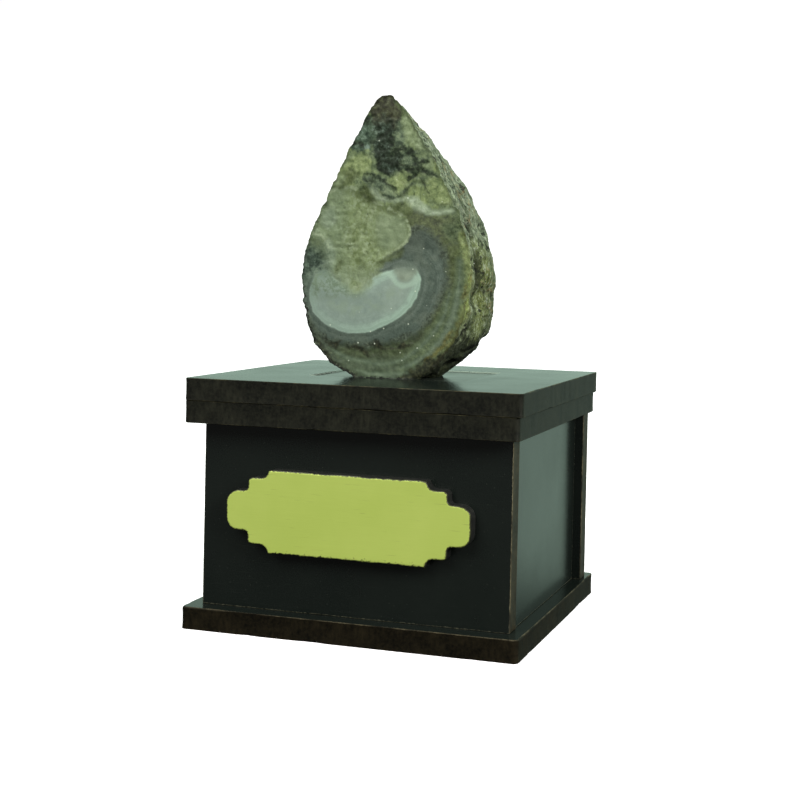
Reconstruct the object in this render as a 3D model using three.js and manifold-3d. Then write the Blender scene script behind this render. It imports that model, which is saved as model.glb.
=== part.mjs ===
// A rough agate, cut to a teardrop and stood on its rounded end on a small display box.
// The box is glued up from 3 mm black-faced fibreboard: a base, four walls and a lid of two
// layers. The upper layer has a shallow square seat, and the stone stands in it. A bare
// two-ply name plate with stepped ends is stuck to the front wall.
//
// Millimetres, +Z up. The origin is at the middle of the base's underside. The front wall
// and the stone's sawn face look towards -Y.
import * as THREE from "three";
import { mergeVertices } from "three/addons/utils/BufferGeometryUtils.js";
import Module from "manifold-3d";

const wasm = await Module();
wasm.setup();

// Fibreboard box
const BOARD = 3.0; // thickness of every sheet
const BASE = { width: 46.4, depth: 45.6 };
const WALL_HEIGHT = 24.6;
const FRONT_WALL = { width: 42.8, face: -19.9 }; // face is the y of its outer side
const BACK_WALL = { width: 45.0, face: 20.1 };
const SIDE_FACE = 21.2; // x of a side wall's outer side, set back behind the back wall's end
const LID_LOWER = { width: 46.0, depth: 45.8 };
const LID_UPPER = { width: 46.4, depth: 46.0 };
const CORNER_RADIUS = 0.7; // rounded upright corners of the base and the lid
const CORNER_STEPS = 4;

// Square seat sunk in the lid
const SEAT = { width: 22.0, depth: 21.2, sunk: 0.15, middleY: 1.4 };

// Name plate, measured from its middle
const PLATE = { middleX: -0.3, middleZ: 16.35, thick: 2.0, halfWidth: 16.9 };
const PLATE_SHOULDER = { endX: 12.0, z: 4.4, notch: 1.1 }; // upper step, cut in by a hollow quarter circle
const PLATE_WAIST = { x: 13.75, z: 2.65, notch: 0.55 }; // second step, above the rounded end
const PLATE_END_RADIUS = 1.65;
const PLATE_STEPS = { end: 6, waist: 3, shoulder: 4 }; // straight pieces in each arc of a quarter

// Stone, in its own axes: x along the sawn face, y back into the stone, z up from its foot
const STONE_TURN = 6.5; // degrees about Z
const STONE_AT = { x: 0.0, y: -8.4 }; // middle of the sawn face's foot on the lid
const STONE_DEPTH = 13.8; // up to the shoulder of the back
const STONE_CENTRE = { x: -0.3, z: 14.6 }; // the rings of the two faces close in on this point
const STONE_OUTLINE = [
  [-0.4, 39.1],
  [1.6, 37.4],
  [5.2, 31.8],
  [8.6, 25.6],
  [10.8, 19.9],
  [11.6, 15.0],
  [11.2, 10.4],
  [9.7, 5.6],
  [6.6, 1.6],
  [2.8, -0.7],
  [-1.4, -0.9],
  [-5.0, 0.5],
  [-7.8, 2.2],
  [-10.2, 4.9],
  [-11.6, 9.2],
  [-12.1, 13.6],
  [-11.3, 18.6],
  [-9.3, 23.8],
  [-6.7, 29.4],
  [-3.6, 35.6],
  [-2.1, 38.2],
];
const OUTLINE_STEPS = 108;
const FACE_RINGS = 11;
const SIDE_RINGS = 15;
const BACK_RINGS = 7;

const SWELL = { size: 1.3, fade: 16.0, leftTo: 27.0, rightTo: 36.5, turn: 4.0 }; // the rind past the face's edge, lost upwards
const WIDEST = { share: 0.6, shrink: 0.3 }; // depth of the fullest ring, and how much is lost behind it
const HEEL = { size: 0.9, x: 10.5, z: 7.0, reach: 4.5 }; // extra swelling low on the right
const FOOT_PINCH = { size: 0.8, top: 5.0 }; // the rind draws in towards the foot
const TIP_DROP = { size: 1.7, from: 31.0, to: 39.0 }; // the ridge of the tip falls away backwards
const EDGE_WEAR = { size: 0.22, cell: 1.0, depth: 1.2, seed: 31 }; // unevenness of the sawn face's edge
const BACK_ROUNDING = 3.2; // radius of the shoulder between the rind and the back
const BACK_DOME = 1.1;
const VUG = { x: -5.0, z: 19.0, halfWidth: 8.0, halfHeight: 7.5, depth: 0.35 }; // sunk crystal patch
const VUG_RIM = { from: 0.7, to: 1.1 }; // share of its half sizes over which the patch rises to the face
const VUG_RELIEF = { size: 3.4, height: 0.15, seed: 5 };
const RIND_LUMPS = [
  { size: 5.2, height: 0.42, seed: 11 },
  { size: 2.3, height: 0.3, seed: 23 },
];
const BACK_LUMPS = [
  { size: 4.5, height: 0.55, seed: 13 },
  { size: 2.4, height: 0.3, seed: 17 },
];
const GROOVE = { y: 3.9, z: 17.6, halfLength: 6.5, halfWidth: 0.75, depth: 0.75 }; // on the right side
const LEDGE = { y: 6.4, wander: 1.6, cell: 6.0, rise: 0.45, halfWidth: 0.7, seed: 41 }; // runs round the rind
const PIT_COUNT = 26;
const PIT = { radius: [0.7, 1.7], depth: [0.35, 0.8], margin: 1.4, seed: 7 };
const CALM_EDGE = 1.4; // the relief of the rind grows from nothing over this depth
const FOOT_CUTTER = { width: 60.0, height: 20.0 }; // block that cuts the foot flat, wider than the stone

const COLOUR = {
  board: 0x1b1d1c,
  lid: 0x2a2d2b,
  plate: 0xc3b45a,
  agate: 0x8b9380,
};

const baseTop = BOARD;
const lidBottom = baseTop + WALL_HEIGHT;
const lidSeam = lidBottom + BOARD;
const lidTop = lidSeam + BOARD;
const seatFloor = lidTop - SEAT.sunk;

const smoothstep = THREE.MathUtils.smoothstep;
const lerp = THREE.MathUtils.lerp;

// A repeatable number from 0 to 1 for each point of a whole-number lattice.
function latticeValue(i, j, k, seed) {
  let h = Math.imul(i, 374761393) + Math.imul(j, 668265263) + Math.imul(k, 1274126177) + Math.imul(seed, 974634777);
  h = Math.imul(h ^ (h >>> 13), 1103515245);
  h = Math.imul(h ^ (h >>> 16), 12345677);
  return ((h ^ (h >>> 15)) >>> 0) / 4294967296;
}

// Smooth value noise from -1 to 1 at a point, in cells of one unit.
function noise(x, y, z, seed) {
  const [i, j, k] = [Math.floor(x), Math.floor(y), Math.floor(z)];
  const ease = (t) => t * t * (3 - 2 * t);
  const [u, v, w] = [ease(x - i), ease(y - j), ease(z - k)];
  const row = (dj, dk) => lerp(latticeValue(i, j + dj, k + dk, seed), latticeValue(i + 1, j + dj, k + dk, seed), u);
  const layer = (dk) => lerp(row(0, dk), row(1, dk), v);
  return 2 * lerp(layer(0), layer(1), w) - 1;
}

// A sum of noise layers, each with a size in millimetres and a height.
function layered(layers, x, y, z) {
  return layers.reduce((sum, { size, height, seed }) => sum + height * noise(x / size, y / size, z / size, seed), 0);
}

// Closed curve of the sawn face, clockwise from the tip.
const outlineCurve = new THREE.CatmullRomCurve3(
  STONE_OUTLINE.map(([x, z]) => new THREE.Vector3(x, 0, z)),
  true,
  "centripetal",
);
const outlineLength = outlineCurve.getLength();

// Evenly spaced points of the outline, each with its outward direction and its distance along.
function faceOutline() {
  const points = outlineCurve.getSpacedPoints(OUTLINE_STEPS).slice(0, OUTLINE_STEPS);
  return points.map((p, n) => {
    const after = points[(n + 1) % OUTLINE_STEPS];
    const before = points[(n + OUTLINE_STEPS - 1) % OUTLINE_STEPS];
    const out = new THREE.Vector2(before.z - after.z, after.x - before.x).normalize();
    return { x: p.x, z: p.z, outX: out.x, outZ: out.y, along: (n / OUTLINE_STEPS) * outlineLength };
  });
}

// The pits of the rind: each has a place along the outline, a depth into the stone and a size.
function makePits() {
  const draw = (n, k, [low, high]) => lerp(low, high, latticeValue(n, k, 0, PIT.seed));
  return Array.from({ length: PIT_COUNT }, (_, n) => ({
    along: ((n + draw(n, 1, [0, 1])) / PIT_COUNT) * outlineLength,
    y: draw(n, 2, [PIT.margin, STONE_DEPTH - PIT.margin]),
    radius: draw(n, 3, PIT.radius),
    depth: draw(n, 4, PIT.depth),
  }));
}

// How far the rind stands out past the face's outline, at a depth y into the stone.
function rindSwell(edge, y) {
  const share = y / STONE_DEPTH;
  const behind = Math.max(0, share - WIDEST.share) / (1 - WIDEST.share);
  const swell = Math.sin((Math.PI / 2) * Math.min(1, share / WIDEST.share)) - WIDEST.shrink * behind ** 2;
  const fadeTo = lerp(SWELL.leftTo, SWELL.rightTo, smoothstep(edge.x, -SWELL.turn, SWELL.turn));
  const body = SWELL.size * (1 - smoothstep(edge.z, fadeTo - SWELL.fade, fadeTo));
  const heelDistance = Math.hypot(edge.x - HEEL.x, edge.z - HEEL.z) / HEEL.reach;
  const heel = HEEL.size * Math.exp(-(heelDistance ** 2));
  const pinch = FOOT_PINCH.size * (1 - smoothstep(edge.z, 0, FOOT_PINCH.top));
  const drop = TIP_DROP.size * smoothstep(edge.z, TIP_DROP.from, TIP_DROP.to);
  return (body + heel) * swell - (pinch + drop) * share;
}

// Relief of the rind: lumps, one wandering ledge, a long groove on the right and the pits.
function rindRelief(edge, y, pits) {
  let height = layered(RIND_LUMPS, edge.x, y, edge.z);
  const ledgeY = LEDGE.y + LEDGE.wander * noise(edge.x / LEDGE.cell, 0, edge.z / LEDGE.cell, LEDGE.seed);
  height += LEDGE.rise * (smoothstep(y, ledgeY - LEDGE.halfWidth, ledgeY + LEDGE.halfWidth) - 0.5);
  if (edge.x > 0) {
    const across = (y - GROOVE.y) / GROOVE.halfWidth;
    const lengthwise = (edge.z - GROOVE.z) / GROOVE.halfLength;
    height -= GROOVE.depth * Math.exp(-(across ** 2) - lengthwise ** 4);
  }
  for (const pit of pits) {
    const apart = Math.abs(edge.along - pit.along);
    const around = Math.min(apart, outlineLength - apart);
    const distance = Math.hypot(around, y - pit.y) / pit.radius;
    height -= pit.depth * Math.exp(-(distance ** 2));
  }
  return height * smoothstep(y, 0, CALM_EDGE);
}

// A point of the rind beside one point of the outline. The shoulder at the back turns in
// towards the stone's centre, so that the narrow tip doesn't fold over itself.
function rindPoint(edge, y, pits) {
  const nearFace = 1 - smoothstep(y, 0, EDGE_WEAR.depth);
  const cell = EDGE_WEAR.cell;
  const wear = EDGE_WEAR.size * nearFace * noise(edge.x / cell, 0, edge.z / cell, EDGE_WEAR.seed);
  const push = rindSwell(edge, y) + rindRelief(edge, y, pits) + wear;
  const x = edge.x + edge.outX * push - STONE_CENTRE.x;
  const z = edge.z + edge.outZ * push - STONE_CENTRE.z;
  const intoShoulder = Math.max(0, y - (STONE_DEPTH - BACK_ROUNDING)) / BACK_ROUNDING;
  const turnedIn = BACK_ROUNDING * (1 - Math.sqrt(Math.max(0, 1 - intoShoulder ** 2)));
  const keep = 1 - turnedIn / Math.hypot(x, z);
  return [STONE_CENTRE.x + x * keep, y, STONE_CENTRE.z + z * keep];
}

// Relief of the sawn face: flat, but for the crystal patch that lies a little lower.
function faceRelief(x, z) {
  const reach = Math.hypot((x - VUG.x) / VUG.halfWidth, (z - VUG.z) / VUG.halfHeight);
  const inside = 1 - smoothstep(reach, VUG_RIM.from, VUG_RIM.to);
  return inside * (VUG.depth + layered([VUG_RELIEF], x, 0, z));
}

// A ring drawn in towards the stone's centre by a share q, its depth given by a function.
function drawnIn(ring, q, depthAt) {
  return ring.map(([x, , z]) => {
    const [px, pz] = [lerp(STONE_CENTRE.x, x, q), lerp(STONE_CENTRE.z, z, q)];
    return [px, depthAt(px, pz), pz];
  });
}

// The stone as a closed mesh of rings: out over the sawn face, back along the rind, in over the back.
function stoneGeometry() {
  const outline = faceOutline();
  const pits = makePits();
  const side = [];
  for (let r = 0; r <= SIDE_RINGS; r++) {
    const y = STONE_DEPTH * Math.sin((Math.PI / 2) * (r / SIDE_RINGS));
    side.push(outline.map((edge) => rindPoint(edge, y, pits)));
  }
  const face = [];
  for (let r = 1; r < FACE_RINGS; r++) {
    face.push(drawnIn(side[0], r / FACE_RINGS, faceRelief));
  }
  const back = [];
  for (let r = BACK_RINGS - 1; r > 0; r--) {
    const q = r / BACK_RINGS;
    const lumps = (x, z) => (1 - q ** 4) * layered(BACK_LUMPS, x, STONE_DEPTH, z);
    back.push(drawnIn(side.at(-1), q, (x, z) => STONE_DEPTH + BACK_DOME * (1 - q * q) + lumps(x, z)));
  }

  const rings = [...face, ...side, ...back];
  const { x: centreX, z: centreZ } = STONE_CENTRE;
  const frontPole = [centreX, faceRelief(centreX, centreZ), centreZ];
  const backPole = [centreX, STONE_DEPTH + BACK_DOME + layered(BACK_LUMPS, centreX, STONE_DEPTH, centreZ), centreZ];
  const points = [frontPole, ...rings.flat(), backPole];
  const count = OUTLINE_STEPS;
  const index = [];
  for (let n = 0; n < count; n++) {
    const next = (n + 1) % count;
    index.push(0, 1 + next, 1 + n);
    for (let r = 0; r + 1 < rings.length; r++) {
      const [a, b] = [1 + r * count + n, 1 + r * count + next];
      index.push(a, b, a + count, b, b + count, a + count);
    }
    const last = 1 + (rings.length - 1) * count;
    index.push(last + n, last + next, points.length - 1);
  }
  const geometry = new THREE.BufferGeometry();
  geometry.setAttribute("position", new THREE.Float32BufferAttribute(points.flat(), 3));
  geometry.setIndex(index);
  return geometry;
}

// A closed three.js geometry as a solid that can be cut, and back again.
function toSolid(geometry) {
  const bare = geometry.clone();
  bare.deleteAttribute("normal");
  bare.deleteAttribute("uv");
  const merged = mergeVertices(bare, 1e-4);
  return new wasm.Manifold(
    new wasm.Mesh({
      numProp: 3,
      vertProperties: new Float32Array(merged.attributes.position.array),
      triVerts: new Uint32Array(merged.index.array),
    }),
  );
}

function toGeometry(solid) {
  const mesh = solid.getMesh();
  const geometry = new THREE.BufferGeometry();
  geometry.setAttribute("position", new THREE.BufferAttribute(mesh.vertProperties, 3));
  geometry.setIndex(new THREE.BufferAttribute(mesh.triVerts, 1));
  geometry.computeVertexNormals();
  return geometry;
}

// A flat sheet with rounded upright corners, its underside at z = 0.
function sheetGeometry({ width, depth }) {
  const [w, d, r] = [width / 2, depth / 2, CORNER_RADIUS];
  const quarter = Math.PI / 2;
  const outline = new THREE.Shape();
  outline.absarc(w - r, d - r, r, 0, quarter, false);
  outline.absarc(-w + r, d - r, r, quarter, 2 * quarter, false);
  outline.absarc(-w + r, -d + r, r, 2 * quarter, 3 * quarter, false);
  outline.absarc(w - r, -d + r, r, 3 * quarter, 4 * quarter, false);
  return new THREE.ExtrudeGeometry(outline, { depth: BOARD, bevelEnabled: false, curveSegments: CORNER_STEPS });
}

// The upper lid layer with its square seat cut into the top.
function upperLidGeometry() {
  const cutter = new THREE.BoxGeometry(SEAT.width, SEAT.depth, 2 * SEAT.sunk);
  cutter.translate(0, SEAT.middleY, BOARD);
  return toGeometry(toSolid(sheetGeometry(LID_UPPER)).subtract(toSolid(cutter)));
}

// The plate's outline has two steps at each corner and rounded ends; one quarter is mirrored to four.
function plateQuarter() {
  const points = [];
  const arc = (cx, cz, r, from, to, steps) => {
    for (let n = 0; n <= steps; n++) {
      const a = THREE.MathUtils.degToRad(lerp(from, to, n / steps));
      points.push([cx + r * Math.cos(a), cz + r * Math.sin(a)]);
    }
  };
  const { endX, z, notch } = PLATE_SHOULDER;
  arc(PLATE.halfWidth - PLATE_END_RADIUS, PLATE_WAIST.z - PLATE_END_RADIUS, PLATE_END_RADIUS, 0, 90, PLATE_STEPS.end);
  arc(PLATE_WAIST.x + PLATE_WAIST.notch, PLATE_WAIST.z + PLATE_WAIST.notch, PLATE_WAIST.notch, 270, 180, PLATE_STEPS.waist);
  arc(PLATE_WAIST.x - PLATE_WAIST.notch, z - PLATE_WAIST.notch, PLATE_WAIST.notch, 0, 90, PLATE_STEPS.waist);
  arc(endX, z + notch, notch, 270, 180, PLATE_STEPS.shoulder);
  return points;
}

function plateGeometry() {
  const quarter = plateQuarter();
  const mirrored = [...quarter].reverse();
  const outline = [
    ...quarter,
    ...mirrored.map(([x, z]) => [-x, z]),
    ...quarter.map(([x, z]) => [-x, -z]),
    ...mirrored.map(([x, z]) => [x, -z]),
  ];
  const shape = new THREE.Shape(outline.map(([x, z]) => new THREE.Vector2(x, z)));
  const geometry = new THREE.ExtrudeGeometry(shape, { depth: PLATE.thick, bevelEnabled: false });
  return geometry.rotateX(Math.PI / 2);
}

// The stone, cut off flat at its foot.
function agateGeometry() {
  const { width, height } = FOOT_CUTTER;
  const below = new THREE.BoxGeometry(width, width, height);
  below.translate(0, 0, -height / 2);
  return toGeometry(toSolid(stoneGeometry()).subtract(toSolid(below)));
}

function board(finish = {}) {
  return new THREE.MeshStandardMaterial({ color: COLOUR.board, roughness: 0.45, metalness: 0, ...finish });
}

function addMesh(parent, name, geometry, material, [x, y, z]) {
  const mesh = new THREE.Mesh(geometry, material);
  mesh.name = name;
  mesh.position.set(x, y, z);
  parent.add(mesh);
  return mesh;
}

function buildBox() {
  const box = new THREE.Group();
  const wallMiddle = baseTop + WALL_HEIGHT / 2;
  const sideLength = BACK_WALL.face - FRONT_WALL.face - 2 * BOARD;
  const sideMiddle = (BACK_WALL.face + FRONT_WALL.face) / 2;

  addMesh(box, "base_plate", sheetGeometry(BASE), board(), [0, 0, 0]);
  for (const [name, wall, inwards] of [["front_wall", FRONT_WALL, 1], ["back_wall", BACK_WALL, -1]]) {
    const geometry = new THREE.BoxGeometry(wall.width, BOARD, WALL_HEIGHT);
    addMesh(box, name, geometry, board(), [0, wall.face + (inwards * BOARD) / 2, wallMiddle]);
  }
  for (const [name, side] of [["left_wall", -1], ["right_wall", 1]]) {
    const geometry = new THREE.BoxGeometry(BOARD, sideLength, WALL_HEIGHT);
    addMesh(box, name, geometry, board(), [side * (SIDE_FACE - BOARD / 2), sideMiddle, wallMiddle]);
  }
  const lidFinish = { color: COLOUR.lid, roughness: 0.3 };
  const flushLeft = (LID_LOWER.width - LID_UPPER.width) / 2; // both layers line up on the left
  addMesh(box, "lid_lower", sheetGeometry(LID_LOWER), board(), [flushLeft, 0, lidBottom]);
  addMesh(box, "lid_upper", upperLidGeometry(), board(lidFinish), [0, 0, lidSeam]);

  const plateFinish = new THREE.MeshStandardMaterial({ color: COLOUR.plate, roughness: 0.35, metalness: 0.6 });
  addMesh(box, "name_plate", plateGeometry(), plateFinish, [PLATE.middleX, FRONT_WALL.face, PLATE.middleZ]);
  return box;
}

function buildStone() {
  const stone = new THREE.Group();
  const finish = new THREE.MeshStandardMaterial({ color: COLOUR.agate, roughness: 0.6, metalness: 0 });
  addMesh(stone, "agate", agateGeometry(), finish, [0, 0, 0]);
  stone.position.set(STONE_AT.x, STONE_AT.y, seatFloor);
  stone.rotation.z = THREE.MathUtils.degToRad(STONE_TURN);
  return stone;
}

const root = new THREE.Group();
root.add(buildBox(), buildStone());

export default root;
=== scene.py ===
# %% [markdown]
# # A rough agate on a display box
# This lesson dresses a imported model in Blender: a teardrop of agate with one sawn face, standing on
# a small box of black fibreboard with a bare gold name plate.
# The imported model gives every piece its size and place. The script builds a finer mesh for each
# piece in that same space, and then gives each one a material made of nodes.

import math

import bpy
import numpy as np
from mathutils import Matrix, Vector
from mathutils.geometry import delaunay_2d_cdt, tessellate_polygon


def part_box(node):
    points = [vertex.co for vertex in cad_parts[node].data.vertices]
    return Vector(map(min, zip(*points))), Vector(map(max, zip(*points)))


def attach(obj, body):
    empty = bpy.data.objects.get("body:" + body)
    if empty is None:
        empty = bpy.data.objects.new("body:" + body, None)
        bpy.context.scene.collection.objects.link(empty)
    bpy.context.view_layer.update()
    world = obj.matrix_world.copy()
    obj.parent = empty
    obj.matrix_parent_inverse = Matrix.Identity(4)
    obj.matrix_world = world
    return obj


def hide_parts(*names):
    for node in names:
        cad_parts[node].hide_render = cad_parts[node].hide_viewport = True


MM = 0.001  # Blender works in metres, and the sizes below are easier to read in millimetres

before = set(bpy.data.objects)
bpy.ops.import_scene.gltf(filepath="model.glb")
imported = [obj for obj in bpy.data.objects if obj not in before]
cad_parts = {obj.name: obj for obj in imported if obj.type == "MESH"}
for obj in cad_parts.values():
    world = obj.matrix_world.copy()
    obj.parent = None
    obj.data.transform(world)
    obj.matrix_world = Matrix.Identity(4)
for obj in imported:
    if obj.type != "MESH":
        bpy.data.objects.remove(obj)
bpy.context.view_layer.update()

# %% [markdown]
# ## Small tools for nodes
# Colours are written as the sRGB hex that a colour picker shows. Shaders add light up in linear
# values, so one function turns one into the other. A second function adds a node, gives it its
# settings and joins its inputs, whatever kind of node it is. That keeps the materials short.


# %% Colour and node helpers
def linear(hex_colour):
    """The linear red, green, blue and alpha of an sRGB hex colour."""
    channels = [int(hex_colour[i:i + 2], 16) / 255 for i in (1, 3, 5)]
    return [c / 12.92 if c <= 0.04045 else ((c + 0.055) / 1.055) ** 2.4 for c in channels] + [1.0]


def join(tree, target, inputs):
    """Sets each named input of a node, either to a value or to another node's output."""
    for socket, value in inputs.items():
        if isinstance(value, bpy.types.NodeSocket):
            tree.links.new(value, target.inputs[socket])
        else:
            target.inputs[socket].default_value = value


def add(tree, kind, inputs, out=0, stops=None, **settings):
    """Adds one node and returns its output; stops are a ramp's positions and hex colours."""
    made = tree.nodes.new("ShaderNode" + kind)
    for name, value in settings.items():
        setattr(made, name, value)
    join(tree, made, inputs)
    if stops:
        elements = made.color_ramp.elements
        elements[0].position, elements[1].position = stops[0][0], stops[-1][0]
        for position, _ in stops[1:-1]:
            elements.new(position)
        for element, (_, colour) in zip(elements, stops):
            element.color = linear(colour)
    return made.outputs[out]


def new_material(name):
    """A material with one principled shader, and the tree and shader to work on."""
    material = bpy.data.materials.new(name)
    material.use_nodes = True
    tree = material.node_tree
    tree.nodes.clear()
    shader = tree.nodes.new("ShaderNodeBsdfPrincipled")
    output = tree.nodes.new("ShaderNodeOutputMaterial")
    tree.links.new(shader.outputs["BSDF"], output.inputs["Surface"])
    return material, tree, shader


def blend(tree, share, below, above):
    """Lays one colour over another by a share from 0 to 1."""
    below = linear(below) if isinstance(below, str) else below
    above = linear(above) if isinstance(above, str) else above
    return add(tree, "Mix", {0: share, 6: below, 7: above}, out=2, data_type="RGBA")


def between(tree, value, low, high):
    """A share that rises smoothly from 0 at low to 1 at high."""
    inputs = {"Value": value, "From Min": low, "From Max": high}
    return add(tree, "MapRange", inputs, interpolation_type="SMOOTHSTEP")


# %% [markdown]
# ## The photographer's view
# The camera stands a little to the right of the name plate, almost level with the stone's foot.
# The picture is a crop, so the middle of the lens doesn't fall on the middle of the picture, and the
# camera is shifted by just that much. A shift keeps the upright edges of the box as they are, where
# a tilt would make them lean.

# %% Camera
CAMERA_AT = Vector((68.683, -204.006, 49.082)) * MM
CAMERA_TURN = math.radians(18.846)  # to the left, from looking along +Y
CAMERA_DOWN = math.radians(0.992)
CAMERA_ROLL = math.radians(1.217)
FOCAL_PIXELS = 1511.27  # in a picture 800 pixels wide
SENSOR_WIDTH = 36.0

forward = Vector((
    -math.sin(CAMERA_TURN) * math.cos(CAMERA_DOWN),
    math.cos(CAMERA_TURN) * math.cos(CAMERA_DOWN),
    -math.sin(CAMERA_DOWN),
))
level_right = Vector((math.cos(CAMERA_TURN), math.sin(CAMERA_TURN), 0))
level_up = level_right.cross(forward)
right = level_right * math.cos(CAMERA_ROLL) + level_up * math.sin(CAMERA_ROLL)
up = level_up * math.cos(CAMERA_ROLL) - level_right * math.sin(CAMERA_ROLL)

camera_data = bpy.data.cameras.new("camera")
camera_data.sensor_width = SENSOR_WIDTH
camera_data.lens = FOCAL_PIXELS / 800 * SENSOR_WIDTH
camera_data.shift_y = -(400 - 292) / 800
camera_data.clip_start = 0.01
camera = bpy.data.objects.new("camera", camera_data)
camera.matrix_world = Matrix.Translation(CAMERA_AT) @ Matrix((right, up, -forward)).transposed().to_4x4()
bpy.context.scene.collection.objects.link(camera)
bpy.context.scene.camera = camera
print("lens of", round(camera_data.lens, 2), "mm")

# %% [markdown]
# ## Noise that can be repeated
# Worn edges and rough stone need randomness that comes out the same on every run. This noise gives
# every corner of a lattice a value from its whole-number place alone, and blends smoothly between
# the corners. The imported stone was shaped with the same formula, so both meshes have the same lumps.


# %% Noise
def lattice_value(i, j, k, seed):
    """A repeatable number from 0 to 1 for each point of a whole-number lattice."""
    mask = 0xFFFFFFFF
    h = (i * 374761393 + j * 668265263 + k * 1274126177 + seed * 974634777) & mask
    h = ((h ^ (h >> 13)) * 1103515245) & mask
    h = ((h ^ (h >> 16)) * 12345677) & mask
    return (h ^ (h >> 15)) / 4294967296


def noise(x, y, z, seed):
    """Smooth value noise from -1 to 1, in cells of one unit. Takes numbers or arrays."""
    x, y, z = np.broadcast_arrays(np.asarray(x, float), y, z)
    cell = [np.floor(a).astype(np.int64) for a in (x, y, z)]
    u, v, w = [(a - c) ** 2 * (3 - 2 * (a - c)) for a, c in zip((x, y, z), cell)]
    total = 0
    for di, dj, dk in np.ndindex(2, 2, 2):
        weight = (u if di else 1 - u) * (v if dj else 1 - v) * (w if dk else 1 - w)
        total = total + weight * lattice_value(cell[0] + di, cell[1] + dj, cell[2] + dk, seed)
    return 2 * total - 1


def smoothstep(x, low, high):
    t = np.clip((x - low) / (high - low), 0, 1)
    return t * t * (3 - 2 * t)


# %% [markdown]
# ## From arrays to a piece
# Every piece starts as an array of points and a list of faces. Numbers that the materials need, such
# as the distance to an edge, are stored with the points as attributes. A piece rides on the one body
# of the model, takes the materials it is given, and replaces its imported node.


# %% Mesh helper
def make_piece(node, points, faces, materials, kinds, numbers, sharp_degrees):
    """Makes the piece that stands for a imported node; points are in metres, kinds say each face's material."""
    mesh = bpy.data.meshes.new(node + "_mesh")
    mesh.from_pydata([tuple(p) for p in points], [], [tuple(f) for f in faces])
    for material in materials:
        mesh.materials.append(material)
    mesh.polygons.foreach_set("material_index", np.asarray(kinds, np.int32))
    mesh.polygons.foreach_set("use_smooth", np.ones(len(faces), bool))
    for name, values in numbers.items():
        values = np.asarray(values, np.float32)
        kind, key = ("FLOAT", "value") if values.ndim == 1 else ("FLOAT_VECTOR", "vector")
        mesh.attributes.new(name, kind, "POINT").data.foreach_set(key, values.ravel())
    mesh.update()
    mesh.set_sharp_from_angle(angle=math.radians(sharp_degrees))
    piece = bpy.data.objects.new(node + "_look", mesh)
    bpy.context.scene.collection.objects.link(piece)
    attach(piece, "root")
    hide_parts(node)
    print(piece.name, len(mesh.vertices), "points,", len(mesh.polygons), "faces")
    return piece


# %% [markdown]
# ## Sheets of fibreboard
# A laser-cut sheet has three kinds of surface: two faces with a black film, cut sides that the laser
# left brown, and the arris between them, where handling rubs the film off in short runs.
# A sheet is built as a stack of loops around its rim. The loops run out over the lower face, up the
# cut side and in over the upper face. The arris is one narrow strip whose width wanders, so the wear
# is part of the shape and not only of the colour.

# %% Sheet builder
ARRIS = 0.06 * MM  # width of the arris where it is sharp
WORN = 0.26 * MM  # how much wider it gets where it is rubbed
FACE_INSETS = [0.5 * MM, 2.4 * MM]  # loops on the film, for the wear that fades inwards
CUT_LOOPS = 4
SIDE_POINTS = 60
CORNER_POINTS = 6
SEAT_CORNER = 0.35 * MM
SEAT_SLOPE = 0.25 * MM  # width of the slope at the foot of the seat's side, which is painted pale as painted reflection


def rim(half_u, half_v, radius, inset):
    """Points round a rectangle with round corners, drawn in by an inset, and their outward directions."""
    turn = max(radius - inset, 0.01 * MM)
    centre_u, centre_v = half_u - inset - turn, half_v - inset - turn
    points, outward = [], []
    for quarter, (su, sv) in enumerate([(1, 1), (-1, 1), (-1, -1), (1, -1)]):
        for n in range(CORNER_POINTS):
            angle = math.pi / 2 * (quarter + n / (CORNER_POINTS - 1))
            direction = np.array([math.cos(angle), math.sin(angle)])
            points.append(np.array([su * centre_u, sv * centre_v]) + turn * direction)
            outward.append(direction)
        next_u, next_v = [(-1, 1), (-1, -1), (1, -1), (1, 1)][quarter]
        goal = np.array([next_u * centre_u, next_v * centre_v]) + turn * direction
        for n in range(1, SIDE_POINTS):
            points.append(points[-n] + (goal - points[-n]) * n / SIDE_POINTS)
            outward.append(direction)
    return np.array(points), np.array(outward)


def walk(points):
    """Distance along a closed loop of points."""
    return np.concatenate([[0], np.cumsum(np.linalg.norm(np.diff(points, axis=0), axis=1))])


def arris_width(points, seed, wear):
    """Width of the arris at each point of a rim: sharp, with rubbed runs that come and go."""
    u, v = points.T / MM
    runs = np.clip(noise(u / 4.5, v / 4.5, 0, seed) * 1.6 - 0.35, 0, 1)
    nicks = np.clip(noise(u / 0.9, v / 0.9, 0, seed + 1) * 1.5 - 0.4, 0, 1)
    return ARRIS + WORN * wear * (0.35 * runs + 0.65 * runs * nicks + 0.25 * nicks ** 2)


def strip(first, second, count):
    """Faces between two loops whose first points have these numbers."""
    return [
        (first + n, first + (n + 1) % count, second + (n + 1) % count, second + n)
        for n in range(count)
    ]


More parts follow.
